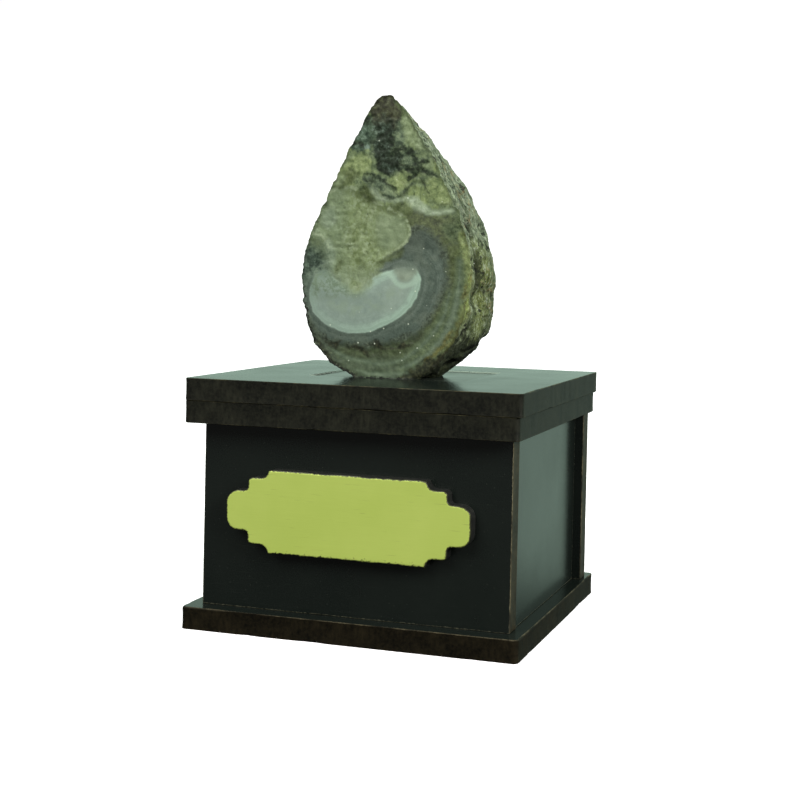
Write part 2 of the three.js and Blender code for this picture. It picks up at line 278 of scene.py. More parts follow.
def sheet_loops(half_u, half_v, thick, corner, seed, wear):
    """The loops of a sheet from the middle of its lower face to the middle of its upper one."""
    outer, outward = rim(half_u, half_v, corner, 0)
    loops = []
    for face_w, sign in ((0, 1), (thick, -1)):
        width = arris_width(outer, seed + 5 * sign, wear)
        side = []
        for inset in reversed(FACE_INSETS):
            points, _ = rim(half_u, half_v, corner, inset)
            side.append((points, np.full(len(points), face_w), np.full(len(points), inset)))
        points, _ = rim(half_u, half_v, corner, 0)
        side.append((points - outward * width[:, None], np.full(len(points), face_w), width * 0))
        for n in range(CUT_LOOPS // 2):
            share = n / CUT_LOOPS
            scorch = 0.03 * MM * (1 + noise(outer[:, 0] / MM * 2.2, outer[:, 1] / MM * 2.2, share, seed))
            w = face_w + sign * (width * (1 - 2 * share) + thick * share)
            side.append((outer - outward * scorch[:, None] * (share > 0), w, -np.abs(w - face_w)))
        loops += side if sign > 0 else side[::-1]
    return loops


def orient(normal):
    """Two axes that lie in a sheet whose upper face looks along a normal."""
    across = Vector((1, 0, 0)) if abs(normal.z) > 0.5 else Vector((-normal.y, normal.x, 0))
    return across, normal.cross(across)


def build_sheet(node, normal, materials, corner=0.08 * MM, seat=None, wear=1.0):
    """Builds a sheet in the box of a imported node."""
    low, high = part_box(node)
    across, along = orient(normal)
    centre = (low + high) / 2
    extent = high - low
    half_u, half_v, thick = [
        abs(extent.dot(axis)) / (1 if axis is normal else 2) for axis in (across, along, normal)
    ]
    seed = sum(map(ord, node))
    loops = sheet_loops(half_u, half_v, thick, corner, seed, wear)
    count = len(loops[0][0])
    points = [np.column_stack([uv, w]) for uv, w, _ in loops]
    edge = [reach for _, _, reach in loops]
    along_rim = [np.resize(walk(loops[0][0]), count) for _ in loops]
    faces, kinds = [], []
    film_loops = len(FACE_INSETS)
    for n in range(len(loops) - 1):
        on_film = n < film_loops or n >= len(loops) - 1 - film_loops
        faces += strip(n * count, (n + 1) * count, count)
        kinds += [0 if on_film else 1] * count
    faces.append(tuple(range(count))[::-1])
    kinds.append(0)
    top = (len(loops) - 1) * count
    if seat is None:
        faces.append(tuple(range(top, top + count)))
        kinds.append(0)
    else:
        add_seat(seat, thick, top, count, points, edge, along_rim, faces, kinds)
    points, edge, along_rim = np.vstack(points), np.concatenate(edge), np.concatenate(along_rim)
    frame_axes = np.array([across, along, normal])
    placed = (points - [0, 0, thick / 2]) @ frame_axes + np.array(centre)
    numbers = {"edge_mm": edge / MM, "rim_mm": along_rim / MM, "sheet_mm": points / MM}
    return make_piece(node, placed, faces, materials, kinds, numbers, sharp_degrees=25)


def add_seat(seat, thick, top, count, points, edge, along_rim, faces, kinds):
    """Sinks a shallow square seat into the upper face of a sheet that is still an array of loops."""
    half_u, half_v, sunk, middle_v = seat
    start = top + count
    for inwards, drop in [(0, 0), (SEAT_SLOPE, sunk)]:
        loop, _ = rim(half_u, half_v, SEAT_CORNER, inwards)
        points.append(np.column_stack([loop + [0, middle_v], np.full(len(loop), thick - drop)]))
        edge.append(np.full(len(loop), FACE_INSETS[-1]))
        along_rim.append(walk(loop))
    ring = len(loop)
    outer = [Vector((*p[:2], 0)) for p in points[-3]]
    inner = [Vector((*p[:2], 0)) for p in points[-2]]
    for triangle in tessellate_polygon([outer, inner[::-1]]):
        corners = [top + i if i < count else start + ring - 1 - (i - count) for i in triangle]
        a, b, c = [outer[i] if i < count else inner[::-1][i - count] for i in triangle]
        faces.append(tuple(corners if (b - a).cross(c - a).z > 0 else corners[::-1]))
        kinds.append(0)
    faces.extend(strip(start, start + ring, ring))
    kinds.extend([2] * ring)
    faces.append(tuple(range(start + ring, start + 2 * ring)))
    kinds.append(3)


# %% [markdown]
# ## The film and the burnt edge
# The face of the board is a thin black melamine film, pressed on at the mill. It is smooth but not a
# mirror: it has a faint orange-peel, dust, and fine scratches. At a low angle it reflects the bright
# room, which is why the lid looks pale green-grey in the photo.
# The cut side is wood fibre that the laser charred. It is brown, matt and has fine upright stripes
# from the pulses of the beam, and the arris shows bare fibre where the char rubbed off.


# %% Fibreboard materials
def black_film(name, colour="#0e1311", roughness=0.2, dust=0.12, gloss=1.36):
    material, tree, shader = new_material(name)
    place = add(tree, "Attribute", {}, out="Vector", attribute_name="sheet_mm")
    edge = add(tree, "Attribute", {}, out="Fac", attribute_name="edge_mm")
    cloud = add(tree, "TexNoise", {"Vector": place, "Scale": 0.12, "Detail": 4.0})
    grain = add(tree, "TexNoise", {"Vector": place, "Scale": 2.6, "Detail": 5.0, "Roughness": 0.7})
    specks = add(tree, "TexVoronoi", {"Vector": place, "Scale": 1.1, "Randomness": 1.0})
    speck = between(tree, specks, 0.09, 0.05)
    stretch = add(tree, "Mapping", {"Vector": place, "Rotation": (0, 0, 0.5), "Scale": (0.25, 9, 1)})
    scratches = add(tree, "TexNoise", {"Vector": stretch, "Scale": 0.9, "Detail": 2.0})
    scratch = between(tree, scratches, 0.66, 0.74)

    haze = add(tree, "Math", {0: cloud, 1: dust}, operation="MULTIPLY")
    film = blend(tree, haze, colour, "#3b403b")
    film = blend(tree, add(tree, "Math", {0: between(tree, grain, 0.5, 0.7), 1: 0.06}, operation="MULTIPLY"), film, "#2e322e")
    film = blend(tree, add(tree, "Math", {0: speck, 1: 0.06}, operation="MULTIPLY"), film, "#8d9186")
    film = blend(tree, add(tree, "Math", {0: scratch, 1: 0.015}, operation="MULTIPLY"), film, "#7b8077")
    ragged = add(tree, "Math", {0: grain, 1: 0.5, 2: edge}, operation="MULTIPLY_ADD")
    rubbed = between(tree, ragged, 0.34, 0.2)
    film = blend(tree, add(tree, "Math", {0: rubbed, 1: 0.55}, operation="MULTIPLY"), film, "#6f6c5a")

    rough = add(tree, "Math", {0: cloud, 1: 0.16, 2: roughness - 0.08}, operation="MULTIPLY_ADD")
    rough = add(tree, "Math", {0: rubbed, 1: 0.4, 2: rough}, operation="MULTIPLY_ADD")
    peel = add(tree, "TexNoise", {"Vector": place, "Scale": 0.7, "Detail": 2.0})
    height = add(tree, "Math", {0: scratch, 1: -0.4, 2: peel}, operation="MULTIPLY_ADD")
    height = add(tree, "Math", {0: grain, 1: 0.35, 2: height}, operation="MULTIPLY_ADD")
    bump = add(tree, "Bump", {"Height": height, "Strength": 0.1, "Distance": 0.05 * MM})
    join(tree, shader, {"Base Color": film, "Roughness": rough, "Normal": bump, "IOR": gloss})
    return material


def burnt_edge(name, dark="#100f0a", light="#352d1e", worn="#6f674f", gloss=1.24):
    material, tree, shader = new_material(name)
    place = add(tree, "Attribute", {}, out="Vector", attribute_name="sheet_mm")
    edge = add(tree, "Attribute", {}, out="Fac", attribute_name="edge_mm")
    along = add(tree, "Attribute", {}, out="Fac", attribute_name="rim_mm")
    depth = add(tree, "SeparateXYZ", {"Vector": place}, out="Z")
    pulse = add(tree, "CombineXYZ", {"X": along, "Z": depth})
    pulse = add(tree, "Mapping", {"Vector": pulse, "Scale": (2.2, 1, 0.6)})
    stripes = add(tree, "TexNoise", {"Vector": pulse, "Scale": 1.0, "Detail": 3.0, "Roughness": 0.65})
    fibre = add(tree, "TexNoise", {"Vector": place, "Scale": 2.1, "Detail": 5.0, "Roughness": 0.78})
    patches = add(tree, "TexNoise", {"Vector": place, "Scale": 0.3, "Detail": 3.0})

    tone = add(tree, "Math", {0: stripes, 1: patches}, operation="MULTIPLY")
    char = blend(tree, between(tree, tone, 0.1, 0.55), dark, light)
    char = blend(tree, add(tree, "Math", {0: between(tree, fibre, 0.35, 0.7), 1: 0.6}, operation="MULTIPLY"), char, light)
    ragged = add(tree, "Math", {0: fibre, 1: -0.45, 2: edge}, operation="MULTIPLY_ADD")
    rubbed = between(tree, ragged, -0.36, -0.2)
    patchy = add(tree, "Math", {0: rubbed, 1: between(tree, patches, 0.4, 0.6)}, operation="MULTIPLY")
    colour = blend(tree, patchy, char, worn)

    height = add(tree, "Math", {0: stripes, 1: 0.6, 2: fibre}, operation="MULTIPLY_ADD")
    bump = add(tree, "Bump", {"Height": height, "Strength": 0.45, "Distance": 0.08 * MM})
    join(tree, shader, {"Base Color": colour, "Roughness": 0.5, "Normal": bump, "IOR": gloss})
    return material


film = black_film("melamine_film_black")
base_film = black_film("melamine_film_base", gloss=1.12)
lid_film = black_film("melamine_film_lid", roughness=0.12, dust=0.14, gloss=1.04)
seat_film = black_film("melamine_film_seat", colour="#272c27", roughness=0.14, dust=0.3, gloss=1.038)
# The seat's slope is painted pale: a painted reflection of the bright room, as the lid's film shows it.
painted_seat_reflection = black_film("seat_slope_painted_reflection", colour="#94a095", roughness=0.5, dust=0.0)
charred = burnt_edge("laser_cut_fibre")
charred_base = burnt_edge("laser_cut_fibre_base", dark="#060605", light="#241f15", worn="#4f4838", gloss=1.13)
charred_lid = burnt_edge("laser_cut_fibre_lid", dark="#040504", light="#27271f", worn="#46422f", gloss=1.22)

# %% [markdown]
# ## Building the box
# The base and the two lid layers lie flat, so their upper faces look up. A wall stands, and its upper
# face is the one that looks out of the box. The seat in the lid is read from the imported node's own
# corners, so it stays where the model has it.

# %% The seven sheets
CORNER = 0.7 * MM
UP = Vector((0, 0, 1))


def seat_from_node(node):
    """Half sizes, depth and middle of the seat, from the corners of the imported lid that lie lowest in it."""
    low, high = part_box(node)
    corners = np.array([v.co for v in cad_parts[node].data.vertices])
    inner = corners[(corners[:, 2] > low.z + 1e-5) & (corners[:, 2] < high.z - 1e-5)]
    (u0, v0), (u1, v1) = inner[:, :2].min(0), inner[:, :2].max(0)
    middle_v = (v0 + v1) / 2 - (low.y + high.y) / 2
    return (u1 - u0) / 2, (v1 - v0) / 2, high.z - inner[0, 2], middle_v


seat = seat_from_node("lid_upper")
print("seat half sizes, depth and middle in mm:", [round(float(s) / MM, 2) for s in seat])
build_sheet("base_plate", UP, [base_film, charred_base], CORNER, wear=1.3)
build_sheet("lid_lower", UP, [film, charred_lid], CORNER, wear=0.6)
build_sheet("lid_upper", UP, [lid_film, charred_lid, painted_seat_reflection, seat_film], CORNER, seat=seat, wear=0.8)
for node, normal in [
    ("front_wall", (0, -1, 0)),
    ("back_wall", (0, 1, 0)),
    ("left_wall", (-1, 0, 0)),
    ("right_wall", (1, 0, 0)),
]:
    build_sheet(node, Vector(normal), [film, charred], wear=0.5)

# %% [markdown]
# ## The name plate
# The plate is engraver's two-ply: a thin gold film on a black plastic core, cut to a shape with two
# steps at each corner and round ends. The builder glued it on, so it stands proud of the wall and its
# black core shows round the rim. The outline is drawn for one quarter and mirrored to four.

# %% Plate outline and mesh
PLATE_STEP = {"x": 12.0 * MM, "z": 4.4 * MM, "notch": 1.1 * MM}
PLATE_WAIST = {"x": 13.75 * MM, "z": 2.65 * MM, "notch": 0.55 * MM}
PLATE_END = 1.65 * MM
GOLD_PLY = 0.22 * MM


def arc(centre, radius, start, stop, steps):
    angles = np.radians(np.linspace(start, stop, steps + 1))
    return np.array(centre) + radius * np.column_stack([np.cos(angles), np.sin(angles)])


def plate_outline(half_width):
    x, z, notch = PLATE_WAIST["x"], PLATE_WAIST["z"], PLATE_WAIST["notch"]
    top, big = PLATE_STEP["z"], PLATE_STEP["notch"]
    quarter = np.vstack([
        arc((half_width - PLATE_END, z - PLATE_END), PLATE_END, 0, 90, 8),
        arc((x + notch, z + notch), notch, 270, 180, 5),
        arc((x - notch, top - notch), notch, 0, 90, 5),
        arc((PLATE_STEP["x"], top + big), big, 270, 180, 7),
    ])
    mirrored = quarter[::-1]
    return np.vstack([quarter, mirrored * [-1, 1], quarter * [-1, -1], mirrored * [1, -1]])


def evenly(points, spacing):
    """Points of a closed loop put at even distances, so that a long straight run has points too."""
    closed = np.vstack([points, points[:1]])
    reach = walk(closed)
    marks = np.arange(0, reach[-1], reach[-1] / round(reach[-1] / spacing))
    return np.column_stack([np.interp(marks, reach, closed[:, k]) for k in (0, 1)])


def outward_of(points):
    """Outward directions of a closed loop that runs counter-clockwise."""
    tangent = np.roll(points, -1, axis=0) - np.roll(points, 1, axis=0)
    outward = np.column_stack([tangent[:, 1], -tangent[:, 0]])
    return outward / np.linalg.norm(outward, axis=1)[:, None]


def build_plate(node, materials):
    low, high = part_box(node)
    thick = high.y - low.y
    outline = evenly(plate_outline((high.x - low.x) / 2), 0.35 * MM)
    outward = outward_of(outline)
    u, v = outline.T / MM
    nick = 0.07 * MM * (1 + noise(u / 0.5, v / 0.5, 0, 71)) * (noise(u / 3, v / 3, 0, 72) > -0.1)
    burr = 0.03 * MM * (1 + noise(u / 0.35, v / 0.35, 1, 73))
    stack = [
        (0.0 * MM, 0.0 * MM, 0), (0.0 * MM, thick / 2, 0), (0.02 * MM, thick - GOLD_PLY, 0),
        (0.0 * MM, thick - GOLD_PLY, 1), (0.0 * MM, thick - 0.05 * MM, 1), (0.06 * MM, thick, 1),
        (0.3 * MM, thick, 1),
    ]
    loops, count, faces, kinds, edge = [], len(outline), [], [], []
    for inset, w, ply in stack:
        rag = nick if ply and inset < 0.1 * MM else (burr if not ply else 0)
        shift = inset + (rag if w > 0 else 0)
        loops.append(np.column_stack([outline - outward * np.reshape(shift * np.ones(count), (-1, 1)), np.full(count, w)]))
        edge.append(np.full(count, inset))
    for n in range(len(stack) - 1):
        faces += strip(n * count, (n + 1) * count, count)
        kinds += [stack[n + 1][2] if n != 2 else 0] * count
    faces += [tuple(range(count))[::-1], tuple(range((len(stack) - 1) * count, len(stack) * count))]
    kinds += [0, 1]
    local = np.vstack(loops)
    middle = (low + high) / 2
    points = np.column_stack([local[:, 0] + middle.x, high.y - local[:, 2], local[:, 1] + middle.z])
    numbers = {"edge_mm": np.concatenate(edge) / MM, "plate_mm": local / MM}
    return make_piece(node, points, faces, materials, kinds, numbers, sharp_degrees=50)


# %% [markdown]
# The gold face is a metallised film that was brushed along the plate. Brushing leaves fine lines, so
# the highlight is drawn out across them, and the film shows faint scratches and dull finger marks.
# The core is matt black plastic, slightly dusty where the cutter left a burr.


# %% Plate materials
LOW_EDGE = -(PLATE_STEP["z"] + PLATE_STEP["notch"]) / MM  # of the plate, up from its middle


def brushed_gold_film():
    material, tree, shader = new_material("brushed_gold_film")
    place = add(tree, "Attribute", {}, out="Vector", attribute_name="plate_mm")
    edge = add(tree, "Attribute", {}, out="Fac", attribute_name="edge_mm")
    lines = add(tree, "Mapping", {"Vector": place, "Scale": (0.12, 9, 1)})
    brush = add(tree, "TexNoise", {"Vector": lines, "Scale": 1.6, "Detail": 5.0, "Roughness": 0.7})
    cloud = add(tree, "TexNoise", {"Vector": place, "Scale": 0.16, "Detail": 4.0})
    tilted = add(tree, "Mapping", {"Vector": place, "Rotation": (0, 0, 0.9), "Scale": (0.2, 6, 1)})
    marks = add(tree, "TexNoise", {"Vector": tilted, "Scale": 1.1, "Detail": 2.0})
    scratch = between(tree, marks, 0.68, 0.76)
    fine = add(tree, "TexNoise", {"Vector": place, "Scale": 3.5, "Detail": 4.0})

    gold = blend(tree, cloud, "#b8cb60", "#cad973")
    gold = blend(tree, add(tree, "Math", {0: brush, 1: 0.45}, operation="MULTIPLY"), gold, "#a9bb50")
    gold = blend(tree, add(tree, "Math", {0: scratch, 1: 0.35}, operation="MULTIPLY"), gold, "#5c6030")
    ragged = add(tree, "Math", {0: fine, 1: -0.35, 2: edge}, operation="MULTIPLY_ADD")
    worn = between(tree, ragged, 0.02, -0.12)
    gold = blend(tree, worn, gold, "#3b3c25")
    upward = add(tree, "SeparateXYZ", {"Vector": place}, out="Y")
    ragged = add(tree, "Math", {0: fine, 1: -4.0, 2: upward}, operation="MULTIPLY_ADD")
    gold = blend(tree, between(tree, ragged, LOW_EDGE - 2.05, LOW_EDGE - 2.2), gold, "#2c2e1b")

    rough = add(tree, "Math", {0: brush, 1: 0.25, 2: 0.3}, operation="MULTIPLY_ADD")
    bump = add(tree, "Bump", {"Height": brush, "Strength": 0.15, "Distance": 0.03 * MM})
    join(tree, shader, {"Base Color": gold, "Roughness": rough, "Normal": bump, "Metallic": 0.3})
    return material


def black_core():
    material, tree, shader = new_material("black_plastic_core")
    place = add(tree, "Attribute", {}, out="Vector", attribute_name="plate_mm")
    fine = add(tree, "TexNoise", {"Vector": place, "Scale": 3.0, "Detail": 5.0, "Roughness": 0.7})
    colour = blend(tree, between(tree, fine, 0.45, 0.75), "#0a0b0a", "#25271f")
    bump = add(tree, "Bump", {"Height": fine, "Strength": 0.4, "Distance": 0.06 * MM})
    join(tree, shader, {"Base Color": colour, "Roughness": 0.55, "Normal": bump})
    return material


build_plate("name_plate", [black_core(), brushed_gold_film()])

# %% [markdown]
# ## The stone's outline
# The stone has its own axes: x along the sawn face, y back into the stone and z up from its foot.
# The outline of the sawn face is a smooth closed curve through a few points. The same kind of curve
# serves later for the markings, so it is a function of its own.

# %% Curves
STONE_TURN = math.radians(6.5)
STONE_AT = Vector((0.0, -8.4, 0.0)) * MM
STONE_DEPTH = 13.8  # the stone's own numbers stay in millimetres up to the last step
STONE_CENTRE = np.array([-0.3, 14.6])
STONE_OUTLINE = [
    (-0.4, 39.1), (1.6, 37.4), (5.2, 31.8), (8.6, 25.6), (10.8, 19.9), (11.6, 15.0), (11.2, 10.4),
    (9.7, 5.6), (6.6, 1.6), (2.8, -0.7), (-1.4, -0.9), (-5.0, 0.5), (-7.8, 2.2), (-10.2, 4.9),
    (-11.6, 9.2), (-12.1, 13.6), (-11.3, 18.6), (-9.3, 23.8), (-6.7, 29.4), (-3.6, 35.6), (-2.1, 38.2),
]


def smooth_curve(corners, closed=True, steps=12):
    """A curve through the corners that doesn't overshoot where they lie unevenly (centripetal)."""
    corners = np.asarray(corners, float)
    if not closed:
        ends = 2 * corners[[0, -1]] - corners[[1, -2]]
        corners = np.vstack([ends[:1], corners, ends[1:]])
    count = len(corners)
    points = []
    for n in range(count if closed else count - 3):
        first = n - 1 if closed else n
        a, b, c, d = [corners[(first + k) % count] for k in range(4)]
        ab, bc, cd = [max(np.linalg.norm(q - p), 1e-9) ** 0.5 for p, q in ((a, b), (b, c), (c, d))]
        start = ((b - a) / ab - (c - a) / (ab + bc) + (c - b) / bc) * bc
        stop = ((c - b) / bc - (d - b) / (bc + cd) + (d - c) / cd) * bc
        t = np.linspace(0, 1, steps, endpoint=False)[:, None]
        points.append(b + start * t + (3 * (c - b) - 2 * start - stop) * t ** 2 + (2 * (b - c) + start + stop) * t ** 3)
    return np.vstack(points + ([] if closed else [corners[-2:-1]]))


outline = evenly(smooth_curve(STONE_OUTLINE, steps=60), 0.2)
outline_length = walk(np.vstack([outline, outline[:1]]))[-1]
outline_along = np.arange(len(outline)) / len(outline) * outline_length
outline_outward = -outward_of(outline)  # the outline runs clockwise from the tip
print("outline of", len(outline), "points,", round(float(outline_length), 1), "mm long")

# %% [markdown]
# ## The rind
# Away from the saw cut the stone still has its natural skin. The skin swells out past the cut, and it
# has lumps, one ledge that wanders round it, pits where crystals fell out, and a long groove on the
# right side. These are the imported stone's own formulas. On top come two finer layers that only a
# dense mesh can hold: small knobs, and flutes that run up the side.

# %% Rind relief
SWELL = {"size": 1.3, "fade": 16.0, "left_to": 27.0, "right_to": 36.5, "turn": 4.0}
WIDEST = {"share": 0.6, "shrink": 0.3}
HEEL = {"size": 0.9, "x": 10.5, "z": 7.0, "reach": 4.5}
FOOT_PINCH = {"size": 0.8, "top": 5.0}
TIP_DROP = {"size": 1.7, "start": 31.0, "stop": 39.0}
EDGE_WEAR = {"size": 0.22, "cell": 1.0, "depth": 1.2, "seed": 31}
EDGE_CHIPS = [(0.7, 0.14, 33), (0.37, 0.11, 35)]  # small chips along the cut's edge, only in the fine mesh
CRUST = {"size": 0.45, "cell": 1.1, "from_x": (4.0, 8.0)}  # deeper chips along the right edge of the cut
BACK_ROUNDING = 3.2
BACK_DOME = 1.1
RIND_LUMPS = [(5.2, 0.42, 11), (2.3, 0.3, 23)]  # size, height and seed of each layer
BACK_LUMPS = [(4.5, 0.55, 13), (2.4, 0.3, 17)]
GROOVE = {"y": 3.9, "z": 17.6, "half_length": 6.5, "half_width": 0.75, "depth": 0.75}
LEDGE = {"y": 6.4, "wander": 1.6, "cell": 6.0, "rise": 0.45, "half_width": 0.7, "seed": 41}
PIT_COUNT = 26
PIT = {"radius": (0.7, 1.7), "depth": (0.35, 0.8), "margin": 1.4, "seed": 7}
CALM_EDGE = 1.4
HOLE_DEPTH = 0.45


def layered(layers, x, y, z):
    return sum(height * noise(x / size, y / size, z / size, seed) for size, height, seed in layers)


def rind_swell(x, y, z):
    share = y / STONE_DEPTH
    behind = np.maximum(0, share - WIDEST["share"]) / (1 - WIDEST["share"])
    swell = np.sin(np.pi / 2 * np.minimum(1, share / WIDEST["share"])) - WIDEST["shrink"] * behind ** 2
    fade_to = SWELL["left_to"] + (SWELL["right_to"] - SWELL["left_to"]) * smoothstep(x, -SWELL["turn"], SWELL["turn"])
    body = SWELL["size"] * (1 - smoothstep(z, fade_to - SWELL["fade"], fade_to))
    heel = HEEL["size"] * np.exp(-(((x - HEEL["x"]) ** 2 + (z - HEEL["z"]) ** 2) / HEEL["reach"] ** 2))
    pinch = FOOT_PINCH["size"] * (1 - smoothstep(z, 0, FOOT_PINCH["top"]))
    drop = TIP_DROP["size"] * smoothstep(z, TIP_DROP["start"], TIP_DROP["stop"])
    return (body + heel) * swell - (pinch + drop) * share


def draw_between(n, k, low, high):
    return low + (high - low) * lattice_value(n, k, 0, PIT["seed"])


def rind_relief(x, y, z, along):
    height = layered(RIND_LUMPS, x, y, z)
    cell, half = LEDGE["cell"], LEDGE["half_width"]
    ledge_y = LEDGE["y"] + LEDGE["wander"] * noise(x / cell, 0, z / cell, LEDGE["seed"])
    height = height + LEDGE["rise"] * (smoothstep(y, ledge_y - half, ledge_y + half) - 0.5)
    across = (y - GROOVE["y"]) / GROOVE["half_width"]
    lengthwise = (z - GROOVE["z"]) / GROOVE["half_length"]
    height = height - (x > 0) * GROOVE["depth"] * np.exp(-(across ** 2) - lengthwise ** 4)
    for n in range(PIT_COUNT):
        place = (n + draw_between(n, 1, 0, 1)) / PIT_COUNT * outline_length
        pit_y = draw_between(n, 2, PIT["margin"], STONE_DEPTH - PIT["margin"])
        apart = np.abs(along - place)
        around = np.minimum(apart, outline_length - apart)
        radius = draw_between(n, 3, *PIT["radius"])
        height = height - draw_between(n, 4, *PIT["depth"]) * np.exp(-((around ** 2 + (y - pit_y) ** 2) / radius ** 2))
    return height * smoothstep(y, 0, CALM_EDGE)


def rind_detail(x, y, z):
    """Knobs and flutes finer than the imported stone's, only inwards so that it never grows."""
    knobs = 0.26 * np.abs(noise(x / 1.1, y / 0.9, z / 1.1, 61)) + 0.18 * np.abs(noise(x / 0.45, y / 0.4, z / 0.45, 62))
    flutes = 0.16 * np.abs(noise(x / 1.8, y / 0.7, z / 1.8, 63))
    return -(knobs + flutes) * smoothstep(y, 0.0, 0.45)


def rind_ring(y):
    """One ring of the rind at a depth y, as points in the stone's axes."""
    x, z = outline.T
    y = np.full(len(x), float(y))
    cell = EDGE_WEAR["cell"]
    bite = 0.5 * EDGE_WEAR["size"] * noise(x / cell, 0, z / cell, EDGE_WEAR["seed"]) + layered(EDGE_CHIPS, x, 0, z)
    bite = bite + CRUST["size"] * smoothstep(x, *CRUST["from_x"]) * np.minimum(0, noise(x / CRUST["cell"], 0, z / CRUST["cell"], 39))
    wear = bite * (1 - smoothstep(y, 0, EDGE_WEAR["depth"]))
    sunk = HOLE_DEPTH * (1 - smoothstep(hole_distance(x, y, z), -0.25, 0.35))
    push = rind_swell(x, y, z) + rind_relief(x, y, z, outline_along) + rind_detail(x, y, z) + wear - sunk
    flat = outline + outline_outward * push[:, None] - STONE_CENTRE
    into_shoulder = np.maximum(0, y - (STONE_DEPTH - BACK_ROUNDING)) / BACK_ROUNDING
    turned_in = BACK_ROUNDING * (1 - np.sqrt(np.maximum(0, 1 - into_shoulder ** 2)))
    flat = STONE_CENTRE + flat * (1 - turned_in / np.linalg.norm(flat, axis=1))[:, None]
    return np.column_stack([flat[:, 0], y, np.maximum(flat[:, 1], 0)])


# %% [markdown]
# ## Markings as distances
# The markings of an agate are zones with clear borders: a pale eye, bands that follow it, a nest of
# small crystals, and dark inclusions like moss. Each zone is drawn as a short list of points on the
# sawn face. For every point of the mesh the script works out how far it is from the zone's border,
# less than zero inside. The shader turns that distance into a soft, sharp or ragged border, or into a
# row of bands that run along it, and no picture is needed.

# %% Zones of the sawn face
EYE = [
    (-11.0, 11.0), (-10.9, 12.6), (-10.2, 14.2), (-9.2, 14.8), (-8.2, 14.6), (-7.4, 13.6), (-5.8, 13.0),
    (-4.2, 12.7), (-3.0, 13.3), (-1.8, 14.1), (-0.8, 14.5), (0.5, 15.0), (2.5, 15.3), (4.0, 15.2), (4.6, 14.4),
    (4.6, 12.9), (4.0, 11.0),
    (2.8, 9.3), (1.0, 7.9), (-1.0, 7.0), (-3.0, 6.3), (-5.0, 6.2), (-7.2, 6.7), (-9.0, 7.5), (-10.5, 9.2),
]
FESTOON = [[(-1.0, 14.4, 0.1), (0.2, 14.6, 0.25), (0.7, 14.0, 0.2), (1.3, 13.3, 0.22), (2.2, 12.95, 0.25), (3.2, 13.2, 0.25), (4.2, 13.9, 0.3)]]
BEIGE = [(0.8, 14.9), (1.4, 14.0), (2.2, 13.5), (3.1, 13.7), (3.9, 14.3), (4.4, 15.0), (3.8, 15.9), (2.3, 16.2), (1.0, 15.7)]
GREY_BAND = [
    (2.2, 19.2), (3.4, 20.4), (4.8, 20.6), (6.4, 19.6), (7.7, 18.0), (8.2, 16.0), (8.1, 13.4), (7.4, 10.8),
    (6.0, 8.6), (4.2, 6.9), (2.0, 5.9), (-1.0, 5.1), (-4.5, 4.8), (-7.6, 5.4), (-10.0, 7.0), (-11.6, 9.0),
    (-12.6, 11.0), (-12.6, 14.4), (-10.6, 15.0), (-6.0, 16.0), (-2.0, 16.2), (0.2, 16.8), (1.4, 17.8),
]
OLIVE_BAND = [
    (4.5, 23.2), (7.4, 23.0), (9.4, 21.4), (10.2, 17.0), (9.5, 12.6), (8.2, 9.2), (6.2, 6.0), (3.6, 3.6),
    (0.0, 2.4), (-4.0, 2.2), (-7.2, 3.2), (-10.0, 5.4), (-13.0, 9.0), (-13.0, 20.0), (-4.0, 21.0),
]
BROWN_TOP = [
    (3.0, 22.9), (4.4, 23.2), (6.4, 22.6), (8.6, 22.4), (9.9, 20.4), (9.2, 18.6), (7.2, 19.4), (5.0, 20.6), (3.4, 21.2),
]
DRUSE = [
    (-9.8, 24.2), (-7.8, 26.0), (-5.4, 26.6), (-3.2, 25.2), (-1.4, 24.3), (0.6, 23.5), (2.2, 22.6), (2.9, 21.2),
    (2.9, 19.6), (2.4, 18.4), (1.0, 17.4), (-0.8, 16.6), (-1.6, 15.4), (-2.6, 14.2), (-3.6, 12.6), (-4.6, 12.2),
    (-5.6, 13.2), (-7.0, 14.0), (-8.0, 15.0), (-8.6, 16.8), (-9.2, 18.8), (-10.6, 19.8), (-12.0, 20.0), (-11.0, 22.0),
]
SMOOTH_QUARTZ = [(-1.4, 22.6), (0.4, 22.9), (2.0, 22.2), (2.6, 20.6), (2.3, 18.9), (0.8, 17.9), (-1.0, 18.2), (-1.8, 20.4)]
TEAL = [(-12.9, 17.4), (-11.6, 17.7), (-10.2, 17.3), (-9.6, 16.3), (-9.9, 15.2), (-10.8, 14.8), (-11.8, 14.0), (-13.0, 13.2)]
PALE_PATCHES = [
    [(-9.3, 18.8), (-8.4, 19.4), (-7.7, 18.0), (-7.5, 15.9), (-7.9, 14.7), (-8.8, 14.9), (-9.0, 16.6)],
    [(-9.6, 21.6), (-8.6, 23.6), (-7.5, 23.2), (-7.6, 21.6), (-8.6, 20.6)],
    [(-8.0, 27.4), (-7.2, 28.2), (-6.4, 27.6), (-6.8, 26.6), (-7.8, 26.4)],
    [(1.9, 36.2), (3.2, 34.6), (4.3, 32.6), (4.1, 31.9), (2.9, 32.6), (2.0, 34.2), (1.5, 35.4)],
]
DRUSE_STREAKS = [
    [(-6.0, 23.6, 0.2), (-6.3, 21.4, 0.3), (-6.6, 19.2, 0.25), (-6.9, 17.2, 0.35), (-7.0, 15.2, 0.3), (-6.6, 14.4, 0.1)],
    [(-4.4, 20.4, 0.1), (-4.7, 18.6, 0.3), (-4.5, 16.9, 0.25), (-4.1, 15.9, 0.1)],
    [(-4.9, 13.6, 0.15), (-4.4, 12.9, 0.45), (-3.8, 12.5, 0.15)],
    [(-3.0, 23.4, 0.15), (-3.3, 21.6, 0.3), (-3.2, 20.0, 0.1)],
    [(-1.6, 19.8, 0.08), (-2.2, 18.4, 0.2), (-2.6, 17.4, 0.1)],
]
